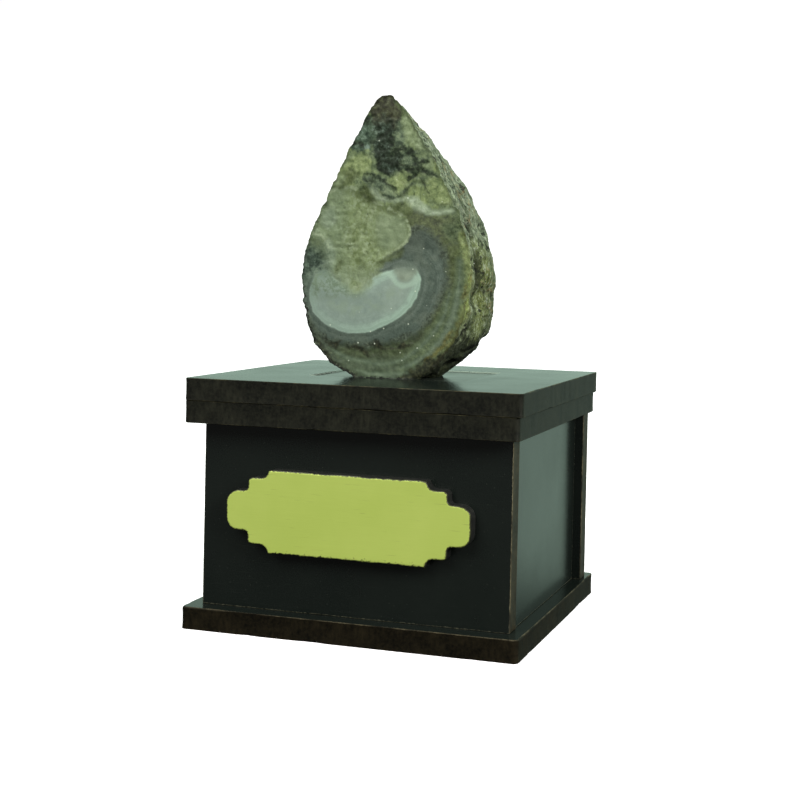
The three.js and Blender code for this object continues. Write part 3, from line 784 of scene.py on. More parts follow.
GREEN_SHADE = [(7.8, 21.2), (8.6, 21.9), (9.9, 21.4), (10.3, 20.2), (9.6, 19.0), (8.5, 19.2)]
TEAL_TOP = [(-3.2, 36.4), (-4.2, 35.0), (-5.2, 33.4), (-5.6, 32.0), (-4.2, 31.4), (-2.6, 31.2), (-2.0, 32.4), (-1.6, 34.0), (-2.0, 35.6)]
MOSS_BODY = [
    (-2.7, 38.4), (-1.2, 39.6), (0.4, 39.4), (0.9, 38.0), (1.5, 36.4), (1.1, 35.2), (0.7, 34.0), (0.6, 32.6),
    (0.5, 31.4), (1.5, 31.0), (1.9, 30.2), (1.5, 29.5), (2.6, 29.0), (2.4, 28.5), (1.2, 28.6), (0.2, 27.9),
    (-0.8, 28.2), (-1.8, 29.2), (-2.3, 30.6), (-2.3, 32.0), (-2.1, 33.4), (-2.4, 35.0), (-2.9, 36.6),
]
MOSS_HAZE = [
    [(-3.9, 27.9), (-2.4, 28.2), (-0.9, 27.4), (0.3, 26.2), (1.4, 25.2), (-0.3, 24.8), (-1.6, 25.7), (-3.2, 26.6)],
    [(1.4, 31.3), (2.6, 31.3), (3.4, 30.2), (4.4, 29.4), (3.4, 28.9), (2.2, 29.0), (1.5, 30.0)],
    [(0.9, 35.6), (1.7, 34.8), (2.3, 33.4), (1.9, 32.3), (0.9, 31.9), (0.5, 33.4)],
]
YELLOW = [
    [(-6.8, 28.8), (-6.3, 30.0), (-4.8, 30.7), (-3.6, 30.4), (-2.7, 29.4), (-2.6, 28.8), (-3.8, 28.5), (-5.2, 28.4)],
    [(-0.3, 27.0), (0.3, 28.2), (1.6, 28.6), (2.4, 28.0), (2.5, 26.9), (1.6, 26.2), (0.8, 26.0), (0.3, 26.5)],
    [(5.2, 26.6), (6.3, 27.6), (7.6, 26.8), (8.9, 25.0), (8.6, 24.2), (6.8, 24.5), (5.6, 25.4)],
]
OLIVE_PATCHES = [
    [(-8.0, 26.6), (-7.2, 28.0), (-5.6, 28.8), (-4.2, 28.4), (-4.4, 27.4), (-5.8, 26.5), (-7.0, 25.9)],
    [(0.4, 23.9), (2.0, 24.4), (2.9, 23.6), (2.9, 22.8), (1.6, 23.2), (0.5, 23.2)],
    [(-4.2, 25.6), (-3.2, 26.2), (-2.2, 25.2), (-2.2, 24.5), (-3.6, 24.6)],
    [(7.2, 24.2), (8.2, 24.5), (9.2, 24.4), (8.4, 24.0)],
    [(-1.8, 15.8), (-0.8, 16.5), (1.0, 17.3), (2.2, 17.9), (1.8, 17.0), (0.4, 16.2), (-0.8, 15.7)],
    [(-7.4, 14.6), (-6.8, 16.2), (-6.3, 16.0), (-6.8, 14.8)],
]
PALE_STREAKS = [  # points of a line, each with half its width
    [(-2.6, 26.1, 0.12), (-2.0, 25.5, 0.35), (-1.1, 24.9, 0.3), (0.2, 24.45, 0.14), (1.4, 24.6, 0.16), (2.4, 24.8, 0.12)],
    [(2.2, 25.0, 0.1), (3.0, 24.4, 0.45), (4.0, 24.0, 0.75), (5.2, 23.5, 0.6), (6.6, 23.1, 0.35), (8.0, 23.1, 0.25), (9.0, 23.4, 0.1)],
]
LIGHT_BANDS = [
    [(-8.0, 4.2, 0.1), (-6.0, 3.0, 0.25), (-3.0, 2.3, 0.2), (0.0, 2.1, 0.22), (2.4, 2.8, 0.18), (4.3, 4.2, 0.18), (6.1, 5.9, 0.2), (7.3, 7.6, 0.2), (8.2, 9.6, 0.18), (8.7, 12.0, 0.1)],
    [(2.2, 1.6, 0.1), (4.4, 2.6, 0.3), (6.5, 4.2, 0.38), (8.1, 6.2, 0.42), (9.1, 8.4, 0.42), (9.7, 10.6, 0.35), (10.0, 13.4, 0.2), (10.1, 16.5, 0.1)],
    [(-4.4, 1.2, 0.1), (-2.0, 0.7, 0.3), (1.0, 0.6, 0.4), (3.2, 1.0, 0.2)],
]
# Dark blotches of the stone. The fourth, fifth and last lines hug the lower outline of the face: they are painted
# shadow where the stone's foot meets the lid.
DARK_BLOTCHES_AND_FOOT_SHADOW = [
    [(-8.8, 5.2, 0.2), (-7.4, 4.6, 0.35), (-6.4, 5.0, 0.15)],
    [(-5.4, 4.2, 0.2), (-4.2, 4.5, 0.35), (-3.2, 4.1, 0.4), (-2.4, 3.3, 0.25)],
    [(-2.2, 4.8, 0.2), (-1.2, 5.0, 0.5), (-0.6, 4.4, 0.3), (0.6, 4.2, 0.2), (2.4, 4.5, 0.3), (3.6, 5.0, 0.2)],
    [(2.0, 0.1, 0.3), (3.4, 0.5, 0.6), (4.8, 1.1, 1.0), (6.2, 1.8, 1.1), (7.4, 2.5, 0.9), (8.6, 3.6, 0.6), (9.6, 4.8, 0.4)],
    [(-9.9, 5.2, 0.15), (-9.2, 3.9, 0.25), (-8.0, 2.6, 0.35), (-6.2, 1.1, 0.4), (-4.4, 0.2, 0.4)],
    [(4.6, 2.4, 0.2), (5.4, 2.6, 0.3), (6.4, 3.0, 0.15)],
    [(10.2, 6.4, 0.15), (10.8, 7.0, 0.3), (11.0, 6.4, 0.1)],
    [(9.6, 3.6, 0.5), (10.6, 4.6, 0.5), (11.2, 5.4, 0.2)],
]
RUST_SPOTS = [
    [(5.6, 2.7, 0.1), (6.8, 3.7, 0.2), (7.9, 4.8, 0.3), (8.7, 5.7, 0.3), (9.3, 7.0, 0.15)],
    [(10.6, 11.2, 0.1), (10.9, 12.2, 0.25), (11.0, 13.2, 0.1)],
]
MOSS_VEINS = [
    [(0.4, 30.9, 0.35), (1.2, 31.7, 0.35), (2.2, 31.8, 0.35), (3.0, 31.2, 0.33), (3.4, 30.3, 0.28), (3.8, 29.8, 0.15)],
    [(3.2, 29.3, 0.15), (4.2, 29.7, 0.22), (5.3, 29.9, 0.12)],
    [(2.5, 28.9, 0.3), (3.4, 28.7, 0.48), (4.3, 29.0, 0.35), (4.9, 28.6, 0.22), (5.6, 28.2, 0.16), (6.8, 27.8, 0.08)],
    [(3.9, 28.7, 0.28), (3.4, 27.9, 0.3), (2.7, 27.6, 0.18)],
    [(4.4, 27.6, 0.03), (4.8, 26.8, 0.06), (5.6, 25.7, 0.03)],
    [(-3.6, 28.0, 0.03), (-2.8, 28.1, 0.08), (-2.0, 27.8, 0.06), (-1.2, 27.3, 0.12), (-0.2, 26.8, 0.12), (0.5, 26.3, 0.13), (0.8, 25.6, 0.06)],
    [(-1.4, 26.3, 0.02), (-0.5, 25.3, 0.05), (0.5, 24.8, 0.08), (1.2, 25.0, 0.05), (1.8, 25.5, 0.1), (2.4, 26.1, 0.12), (3.0, 26.8, 0.05)],
    [(-3.4, 27.2, 0.08), (-2.8, 27.0, 0.16), (-2.1, 27.2, 0.08)],
    [(-4.2, 35.1, 0.2), (-3.6, 35.4, 0.3), (-3.0, 36.0, 0.25)],
    [(-5.2, 32.1, 0.2), (-4.3, 32.3, 0.25), (-3.6, 31.9, 0.12)],
]
# The holes are sunk into the mesh, and the skin material paints them near black as painted shade; the last two run low
# along the underside.
RIND_HOLES_AND_SHADE = [  # in the right side of the rind, as depth, height and half width
    [(3.7, 21.6, 0.2), (4.1, 20.7, 0.45), (4.3, 19.9, 0.2)],
    [(12.6, 22.4, 0.2), (13.4, 20.6, 0.5), (13.6, 19.2, 0.3)],
    [(3.7, 16.4, 0.15), (3.9, 15.2, 0.5), (3.9, 13.8, 0.2)],
    [(13.6, 13.9, 0.2), (14.1, 13.2, 0.35), (13.9, 12.5, 0.2)],
    [(2.4, 6.1, 0.15), (2.9, 6.9, 0.3), (3.3, 7.5, 0.15)],
    [(5.0, 4.4, 0.3), (8.0, 5.0, 0.5), (11.5, 6.2, 0.6), (14.0, 7.6, 0.4)],
    [(3.4, 2.4, 0.3), (6.5, 2.6, 0.6), (10.0, 3.4, 0.6)],
]
WORN_RIM = [
    (2.8, -1.0), (3.9, 0.4), (5.3, 1.4), (7.2, 3.2), (8.7, 5.2), (9.8, 7.4), (10.4, 10.0), (10.7, 13.0), (10.8, 16.0),
    (10.0, 20.4), (13.0, 20.0), (13.0, 0.0), (8.0, -2.0),
]


def segment_distances(x, z, line):
    """For each point the distance to each segment of a line, and how far along the segment it is nearest."""
    a, b = line[:-1, :2], line[1:, :2]
    run = b - a
    px, pz = x[:, None] - a[:, 0], z[:, None] - a[:, 1]
    t = np.clip((px * run[:, 0] + pz * run[:, 1]) / np.maximum((run ** 2).sum(1), 1e-12), 0, 1)
    return np.hypot(px - t * run[:, 0], pz - t * run[:, 1]), t


def border_distance(x, z, loop):
    """Distance to a closed loop of points, less than zero inside it."""
    loop = np.vstack([loop, loop[:1]])
    a, b = loop[:-1], loop[1:]
    rise = np.where(b[:, 1] == a[:, 1], 1, b[:, 1] - a[:, 1])
    result = np.empty(len(x))
    for part in np.array_split(np.arange(len(x)), 1 + len(x) // 3000):
        reach = segment_distances(x[part], z[part], loop)[0].min(1)
        spans = (a[:, 1] > z[part][:, None]) != (b[:, 1] > z[part][:, None])
        crossing = a[:, 0] + (z[part][:, None] - a[:, 1]) / rise * (b[:, 0] - a[:, 0])
        inside = ((x[part][:, None] < crossing) & spans).sum(1) % 2 == 1
        result[part] = np.where(inside, -reach, reach)
    return result


def zone_distance(x, z, corners):
    """Distance to the border of a zone that is drawn as a smooth curve through a few corners."""
    return border_distance(x, z, smooth_curve(corners))


def line_distance(x, z, lines):
    """Distance to the rim of the nearest of some lines of changing width."""
    best = np.full(len(x), 99.0)
    for line in lines:
        line = smooth_curve(line, closed=False, steps=6)
        reach, t = segment_distances(x, z, line)
        width = line[:-1, 2] + (line[1:, 2] - line[:-1, 2]) * t
        best = np.minimum(best, (reach - width).min(1))
    return best


def warped(x, z, sizes, seed):
    """Places nudged about by smooth noise; sizes are pairs of cell and reach."""
    nudge = [sum(reach * noise(x / cell, k, z / cell, seed + k) for cell, reach in sizes) for k in (0, 1)]
    return x + nudge[0], z + nudge[1]


def hole_distance(x, y, z):
    """Distance to the rim of the nearest hole in the right side; the left side has none."""
    y, z = warped(y, z, [(1.1, 0.3), (0.45, 0.18)], 91)
    return np.where(x > 3.0, line_distance(y, z, RIND_HOLES_AND_SHADE), 9.0)


def face_zones(x, z):
    """All the distances that the face material needs; the zones' borders waver, each to its kind."""
    calm = warped(x, z, [(1.9, 0.1), (0.6, 0.06)], 81)
    rough = warped(x, z, [(1.9, 0.28), (0.8, 0.16), (0.35, 0.08)], 83)
    ragged = warped(x, z, [(1.2, 0.3), (0.5, 0.2), (0.25, 0.08)], 85)

    streaked = warped(x, z, [(1.2, 0.3), (0.5, 0.15)], 89)
    threaded = warped(x, z, [(1.1, 0.16), (0.45, 0.16), (0.22, 0.06)], 87)

    def nearest(places, loops):
        return np.minimum.reduce([zone_distance(*places, loop) for loop in loops])

    return {
        "eye_mm": zone_distance(*calm, EYE),
        "festoon_mm": line_distance(*calm, FESTOON),
        "beige_mm": zone_distance(*calm, BEIGE),
        "grey_mm": zone_distance(*rough, GREY_BAND),
        "olive_mm": zone_distance(*calm, OLIVE_BAND),
        "brown_mm": zone_distance(*rough, BROWN_TOP),
        "druse_mm": zone_distance(*rough, DRUSE),
        "quartz_mm": zone_distance(*rough, SMOOTH_QUARTZ),
        "teal_mm": nearest(rough, [TEAL]),
        "teal_top_mm": nearest(ragged, [TEAL_TOP]),
        "moss_mm": zone_distance(*ragged, MOSS_BODY),
        "vein_mm": line_distance(*threaded, MOSS_VEINS),
        "haze_mm": nearest(ragged, MOSS_HAZE),
        "yellow_mm": nearest(rough, YELLOW),
        "patch_mm": nearest(rough, OLIVE_PATCHES),
        "pale_mm": line_distance(*rough, PALE_STREAKS),
        "band_mm": line_distance(*calm, LIGHT_BANDS),
        "pale_patch_mm": nearest(rough, PALE_PATCHES),
        "streak_mm": line_distance(*streaked, DRUSE_STREAKS),
        "shade_mm": nearest(rough, [GREEN_SHADE]),
        "blotch_and_foot_shadow_mm": line_distance(*ragged, DARK_BLOTCHES_AND_FOOT_SHADOW),
        "rust_mm": line_distance(*ragged, RUST_SPOTS),
        "worn_mm": zone_distance(*rough, WORN_RIM),
    }


# %% [markdown]
# ## The sawn face
# The face is a net of even points inside the outline, joined by a Delaunay triangulation, so that it
# is equally fine everywhere. It is flat but not smooth. In the nest of crystals the saw cut through
# open drusy quartz, and the small crystal ends still stand up there. They are made as a cellular
# pattern in which every cell is one tilted facet.

# %% Face relief
VUG = {"x": -5.0, "z": 19.0, "half_width": 8.0, "half_height": 7.5, "depth": 0.35}
VUG_RIM = {"start": 0.7, "stop": 1.1}
VUG_RELIEF = [(3.4, 0.15, 5)]
FACE_SPACING = 0.15
BACK_SPACING = 0.5
SIDE_RINGS = 54


def facets(x, z, size, seed):
    """Height from 0 to 1 of a field of tilted crystal facets, each about one size wide."""
    x, z = 0.83 * x + 0.56 * z, 0.83 * z - 0.56 * x  # turned, so that the lattice's rows don't show
    i, j = np.floor(x / size).astype(np.int64), np.floor(z / size).astype(np.int64)
    nearest, height = np.full(len(x), 99.0), np.zeros(len(x))
    for di, dj in np.ndindex(3, 3):
        ci, cj = i + di - 1, j + dj - 1
        cx = (ci + lattice_value(ci, cj, 0, seed)) * size
        cz = (cj + lattice_value(ci, cj, 1, seed)) * size
        reach = np.hypot(x - cx, z - cz)
        tilt_x, tilt_z = [2 * lattice_value(ci, cj, k, seed) - 1 for k in (2, 3)]
        facet = 0.5 + 0.45 * ((x - cx) * tilt_x + (z - cz) * tilt_z) / size - 0.35 * (reach / size) ** 2
        closer = reach < nearest
        nearest = np.where(closer, reach, nearest)
        height = np.where(closer, facet, height)
    return np.clip(height, 0, 1)


def face_depth(x, z, zones):
    """How far the sawn face lies behind the plane of the cut."""
    reach = np.hypot((x - VUG["x"]) / VUG["half_width"], (z - VUG["z"]) / VUG["half_height"])
    vug = (1 - smoothstep(reach, VUG_RIM["start"], VUG_RIM["stop"])) * (VUG["depth"] + layered(VUG_RELIEF, x, 0, z))
    open_crystals = smoothstep(-zones["druse_mm"], 0.0, 1.2) * smoothstep(zones["quartz_mm"], -0.6, 0.4)
    crystals = open_crystals * (0.08 * (1 - facets(x, z, 1.3, 91)) + 0.05 * (1 - facets(x, z, 0.6, 92)))
    outside = smoothstep(zones["grey_mm"], 0.1, 0.8) * smoothstep(zones["eye_mm"], 0.0, 0.3)
    coarse = np.clip(smoothstep(-zones["moss_mm"], -0.1, 0.3) + outside, 0, 1)
    pits = coarse * (0.06 * (1 - facets(x, z, 0.6, 93)) + 0.1 * np.abs(noise(x / 0.9, 0, z / 0.9, 95)) ** 2)
    ripple = 0.02 * (1 + noise(x / 0.8, 0, z / 0.8, 94)) * (zones["eye_mm"] > 0)
    chips = 0.3 * smoothstep(-zones["worn_mm"], 0.0, 1.0) * (0.4 + np.abs(noise(x / 1.3, 0, z / 1.3, 96)))
    near_rim = smoothstep(zones["rim_mm"], 0.02, 0.35)
    return (vug + crystals + pits + ripple) * near_rim + chips


def net_inside(loop, spacing):
    """Triangles that fill a loop with points at an even spacing; the loop's own points come first."""
    low, high = loop.min(0), loop.max(0)
    rows = np.arange(low[1], high[1], spacing * math.sqrt(0.75))
    columns = np.arange(low[0], high[0], spacing)
    gx, gz = np.meshgrid(columns, rows)
    gx = gx + (np.arange(len(rows)) % 2)[:, None] * spacing / 2
    gx, gz = gx.ravel(), gz.ravel()
    keep = border_distance(gx, gz, loop) < -0.55 * spacing
    points = np.vstack([loop, np.column_stack([gx, gz])[keep]])
    count = len(loop)
    ring = [(n, (n + 1) % count) for n in range(count)]
    result = delaunay_2d_cdt([Vector(p) for p in points], ring, [], 1, 1e-7)
    return np.array([tuple(p) for p in result[0]]), [tuple(f) for f in result[2]]


# %% [markdown]
# ## Closing the stone
# The face, the rings of the rind and the back are joined into one closed skin. The stone is one
# natural piece, so it stays one mesh, with one material for the cut and one for the skin. Each ring
# is held at or above the floor of the seat, which gives the flat that the stone stands on.


# %% Stone mesh
def build_stone(node, materials):
    rings = [rind_ring(STONE_DEPTH * math.sin(math.pi / 2 * n / SIDE_RINGS)) for n in range(SIDE_RINGS + 1)]
    count = len(outline)
    face_points, face_triangles = net_inside(rings[0][:, [0, 2]], FACE_SPACING)
    back_points, back_triangles = net_inside(rings[-1][:, [0, 2]], BACK_SPACING)
    fx, fz = face_points.T
    zones = face_zones(fx, fz)
    zones["rim_mm"] = -border_distance(fx, fz, rings[0][:, [0, 2]])
    face = np.column_stack([fx, face_depth(fx, fz, zones), fz])
    bx, bz = back_points[count:].T
    share = np.hypot(bx - STONE_CENTRE[0], (bz - STONE_CENTRE[1]) / 1.4) / 12.0
    calm = 1 - np.clip(share, 0, 1) ** 4
    dome = BACK_DOME * (1 - np.clip(share, 0, 1) ** 2) + calm * layered(BACK_LUMPS, bx, STONE_DEPTH, bz)
    knobs = 0.25 * np.abs(noise(bx / 0.9, 0, bz / 0.9, 64)) * calm
    back = np.column_stack([bx, STONE_DEPTH + dome - knobs, bz])
    side = np.vstack(rings[1:])
    points = np.vstack([face, side, back])

    side_start = len(face)
    faces = [tuple(t) for t in face_triangles]
    kinds = [0] * len(faces)
    starts = [0] + [side_start + n * count for n in range(SIDE_RINGS)]
    for first, second in zip(starts, starts[1:]):
        faces += strip(first, second, count)
        kinds += [1] * count
    back_start = side_start + len(side)
    last = starts[-1]
    renumber = [last + i if i < count else back_start + i - count for i in range(len(back_points))]
    faces += [tuple(renumber[i] for i in t)[::-1] for t in back_triangles]
    kinds += [1] * len(back_triangles)

    pad = len(points) - len(face)
    numbers = {name: np.concatenate([values, np.full(pad, 9.0)]) for name, values in zones.items()}
    numbers["hole_shade_mm"] = hole_distance(*points.T)
    numbers["stone_mm"] = points.copy()
    low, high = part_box(node)
    turn = np.array(Matrix.Rotation(STONE_TURN, 3, "Z"))
    world = points @ turn.T * MM + np.array(STONE_AT) + [0, 0, low.z]
    world = np.clip(world, np.array(low), np.array(high))
    return make_piece(node, world, faces, materials, kinds, numbers, sharp_degrees=60)


# %% [markdown]
# ## The cut face of the agate
# Agate is chalcedony, a quartz whose crystals are too small to see, laid down in bands on the wall of
# a hollow. A sawn face is smooth to the touch but not polished, so it has a soft gloss like wax.
# The zones are laid over one another from the oldest to the youngest: first the greenish ground, then
# the olive band full of grains, the thin light bands, the grey band, the drusy nest, the pale eye, and
# last the streaks and the dark moss. Each one has its own border and its own speckle.


# %% Node helpers for the stone
def attribute(tree, name):
    return add(tree, "Attribute", {}, out="Fac", attribute_name=name)


def some(tree, share, amount):
    """A share made weaker, or the product of two shares."""
    return add(tree, "Math", {0: share, 1: amount}, operation="MULTIPLY")


def tones(tree, source, colours, low=0.36, high=0.64):
    """Colours spread evenly over the middle range of a noise, so that all of them show."""
    steps = len(colours) - 1
    stops = [(low + (high - low) * n / steps, colour) for n, colour in enumerate(colours)]
    return add(tree, "ValToRGB", {"Fac": source}, out="Color", stops=stops)


def stone_noise(tree, place, per_mm, detail=5.0, roughness=0.66):
    return add(tree, "TexNoise", {"Vector": place, "Scale": per_mm, "Detail": detail, "Roughness": roughness})


def spots(tree, place, per_mm, size, share):
    """Scattered round spots; share is how many of the cells have one."""
    reach = add(tree, "TexVoronoi", {"Vector": place, "Scale": per_mm})
    pick = add(tree, "TexVoronoi", {"Vector": place, "Scale": per_mm}, out="Color")
    pick = add(tree, "SeparateColor", {"Color": pick}, out="Green")
    return some(tree, between(tree, reach, size, 0.5 * size), between(tree, pick, 1 - share, 1.02 - share))


def zone(tree, noises, name, soft, ragged=0.0, grow=0.0, source="small"):
    """Share of a zone: 1 inside, with a border as soft and as ragged as asked, in millimetres."""
    reach = add(tree, "Math", {0: noises[source], 1: ragged, 2: attribute(tree, name)}, operation="MULTIPLY_ADD")
    middle = grow + 0.5 * ragged
    return between(tree, reach, middle + soft, middle - soft)


def band(tree, noises, name, centre, half_width, waver=0.5):
    """Share of a thin band that runs along a zone's border, at a distance from it."""
    reach = add(tree, "Math", {0: noises["middle"], 1: waver, 2: attribute(tree, name)}, operation="MULTIPLY_ADD")
    offset = add(tree, "Math", {0: reach, 1: centre + 0.5 * waver}, operation="SUBTRACT")
    offset = add(tree, "Math", {0: offset}, operation="ABSOLUTE")
    return between(tree, offset, half_width, 0.2 * half_width)


# %% [markdown]
# The greenish ground of the upper half, the olive ground full of grains below it, and the thin light
# bands that the growing agate left between them.


# %% Ground of the cut face
def ground(tree, noises, place, across, height):
    slant = {"Rotation": (0, math.radians(-28), 0), "Scale": (2.0, 1, 0.5), "Location": (0, 0.37, 0)}
    slant = add(tree, "Mapping", {"Vector": place, **slant})
    noises["slant"] = stone_noise(tree, slant, 1.0)
    upper = tones(tree, noises["slant"], ["#4e5b3a", "#67754f", "#788658", "#8a9769"])
    mixed = tones(tree, noises["small"], ["#485440", "#627052", "#7a8866"])
    upper = blend(tree, between(tree, noises["broad"], 0.42, 0.58), upper, mixed)
    lower = tones(tree, noises["grainy"], ["#333b2a", "#47533a", "#5b6847", "#6f7c5a"])
    colour = blend(tree, between(tree, height, 21.5, 24.0), lower, upper)

    away = add(tree, "Math", {0: noises["middle"], 1: 1.4, 2: attribute(tree, "grey_mm")}, operation="MULTIPLY_ADD")
    away = add(tree, "MapRange", {"Value": away, "From Min": 0.7, "From Max": 5.2})
    layers = [(0.0, "#4a4f3a"), (0.16, "#424a30"), (0.32, "#505a36"), (0.5, "#5b6640"), (0.75, "#525e3c"), (1.0, "#59653f")]
    layers = add(tree, "ValToRGB", {"Fac": away}, out="Color", stops=layers)
    grains = tones(tree, noises["grainy"], ["#2f3526", "#424b33", "#535e40", "#6d7757"], 0.32, 0.68)
    olive = blend(tree, 0.45, layers, grains)
    low = tones(tree, noises["middle"], ["#2b3225", "#3b4532", "#4d5840"], 0.36, 0.64)
    olive = blend(tree, some(tree, between(tree, height, 9.5, 5.0), 0.75), olive, low)
    colour = blend(tree, zone(tree, noises, "olive_mm", 0.5, 0.8), colour, olive)
    foot = tones(tree, noises["small"], ["#3f4a3a", "#4a5545", "#576350"], 0.3, 0.7)
    colour = blend(tree, some(tree, between(tree, height, 3.6, 2.2), 0.85), colour, foot)
    left_foot = some(tree, between(tree, across, -5.5, -8.5), between(tree, height, 8.0, 6.0))
    colour = blend(tree, some(tree, left_foot, 0.7), colour, tones(tree, noises["small"], ["#323a33", "#424b42", "#555e50"], 0.34, 0.66))
    light = tones(tree, noises["small"], ["#435040", "#505e4a", "#5e6c56"], 0.34, 0.66)
    wash = some(tree, zone(tree, noises, "band_mm", 0.3, 0.3, grow=0.55), between(tree, across, 1.0, 4.0))
    colour = blend(tree, some(tree, wash, 0.75), colour, tones(tree, noises["small"], ["#46523d", "#525f48", "#5d6a50"], 0.34, 0.66))
    colour = blend(tree, some(tree, zone(tree, noises, "band_mm", 0.24, 0.35, grow=0.08), 0.9), colour, light)
    colour = blend(tree, some(tree, zone(tree, noises, "band_mm", 0.25, 0.4, grow=-0.12), 0.35), colour, "#74816f")
    brown = tones(tree, noises["small"], ["#3e4337", "#4d533f", "#5a6246", "#6c7656"])
    colour = blend(tree, some(tree, zone(tree, noises, "brown_mm", 0.8, 1.6), 0.85), colour, brown)
    shade = tones(tree, noises["grainy"], ["#2d3a28", "#47543c", "#5b684c"])
    return blend(tree, some(tree, zone(tree, noises, "shade_mm", 0.6, 1.2), 0.85), colour, shade)


# %% [markdown]
# The grey band follows the eye and has faint rings. The nest of quartz is pale, yellowish and grainy,
# with a smooth clear patch on its right, and its lower end loses itself in the eye. The eye is the
# palest and most even zone, with a lighter rim and one scalloped white line.


# %% Bands, crystals and eye
def grey_band(tree, noises, height, colour):
    grey = tones(tree, noises["small"], ["#404c44", "#49554c", "#505c53", "#5b675d"], 0.3, 0.7)
    reach = attribute(tree, "eye_mm")
    rings = add(tree, "Math", {0: noises["middle"], 1: 0.7, 2: reach}, operation="MULTIPLY_ADD")
    rings = add(tree, "TexNoise", {"W": rings, "Scale": 1.4, "Detail": 2.0}, noise_dimensions="1D")
    grey = blend(tree, some(tree, between(tree, rings, 0.45, 0.66), 0.3), grey, "#717c72")
    grey = blend(tree, some(tree, between(tree, rings, 0.5, 0.36), 0.3), grey, "#3f4942")
    grey = blend(tree, some(tree, between(tree, noises["broad"], 0.5, 0.62), 0.3), grey, "#6b7466")
    grey = blend(tree, some(tree, between(tree, height, 9.5, 5.5), 0.35), grey, "#36423b")
    grey = blend(tree, some(tree, between(tree, height, 16.8, 19.4), 0.55), grey, "#363f37")
    colour = blend(tree, zone(tree, noises, "grey_mm", 0.75, 1.2, grow=0.2), colour, grey)
    dark = tones(tree, noises["grainy"], ["#2c3228", "#3d453a", "#555f52"], 0.4, 0.62)
    under = some(tree, band(tree, noises, "grey_mm", 0.25, 0.75, 1.4), between(tree, noises["middle"], 0.44, 0.56))
    return blend(tree, some(tree, under, 0.75), colour, dark)


def quartz_nest(tree, noises, place, across, height, colour):
    upright = {"Rotation": (0, math.radians(12), 0), "Scale": (1.5, 1, 0.9), "Location": (0, 0.37, 0)}
    upright = add(tree, "Mapping", {"Vector": place, **upright})
    fibres = add(tree, "TexNoise", {"Vector": upright, "Scale": 0.7, "Detail": 4.0, "Roughness": 0.6, "Distortion": 0.3})
    quartz = tones(tree, fibres, ["#556140", "#69764f", "#778560", "#899576"], 0.32, 0.68)
    grains = tones(tree, noises["middle"], ["#5e6a4b", "#6f7c59", "#7d8a68", "#8b987a"], 0.34, 0.66)
    quartz = blend(tree, between(tree, noises["small"], 0.4, 0.6), quartz, grains)
    quartz = blend(tree, some(tree, between(tree, height, 16.5, 13.5), 0.5), quartz, "#798670")
    streak = some(tree, zone(tree, noises, "streak_mm", 0.45, 0.9), 0.65)
    quartz = blend(tree, streak, quartz, tones(tree, noises["grainy"], ["#47532f", "#5b6841", "#6f7b54"]))
    pale = tones(tree, noises["small"], ["#6d7a63", "#7f8c75", "#909c86"])
    quartz = blend(tree, some(tree, zone(tree, noises, "pale_patch_mm", 0.5, 1.0), 0.8), quartz, pale)
    quartz = blend(tree, some(tree, between(tree, across, -4.5, -7.5), 0.4), quartz, "#70806b")
    clear = tones(tree, noises["middle"], ["#6b795f", "#778568", "#839073"], 0.3, 0.7)
    quartz = blend(tree, some(tree, zone(tree, noises, "quartz_mm", 0.7, 0.8), 0.85), quartz, clear)
    firm = zone(tree, noises, "druse_mm", 0.18, 0.5)
    loose = zone(tree, noises, "druse_mm", 0.8, 2.2, grow=0.5)
    right_side = add(tree, "Math", {0: across, 1: 0.5, 2: height}, operation="MULTIPLY_ADD")
    share = add(tree, "Mix", {0: between(tree, right_side, 15.5, 18.0), 2: loose, 3: firm}, data_type="FLOAT")
    colour = blend(tree, share, colour, quartz)
    lip = some(tree, band(tree, noises, "druse_mm", -0.15, 0.35, 0.2), between(tree, noises["middle"], 0.42, 0.56))
    lip = some(tree, lip, between(tree, height, 16.5, 18.5))
    return blend(tree, some(tree, lip, 0.5), colour, "#a4b094")


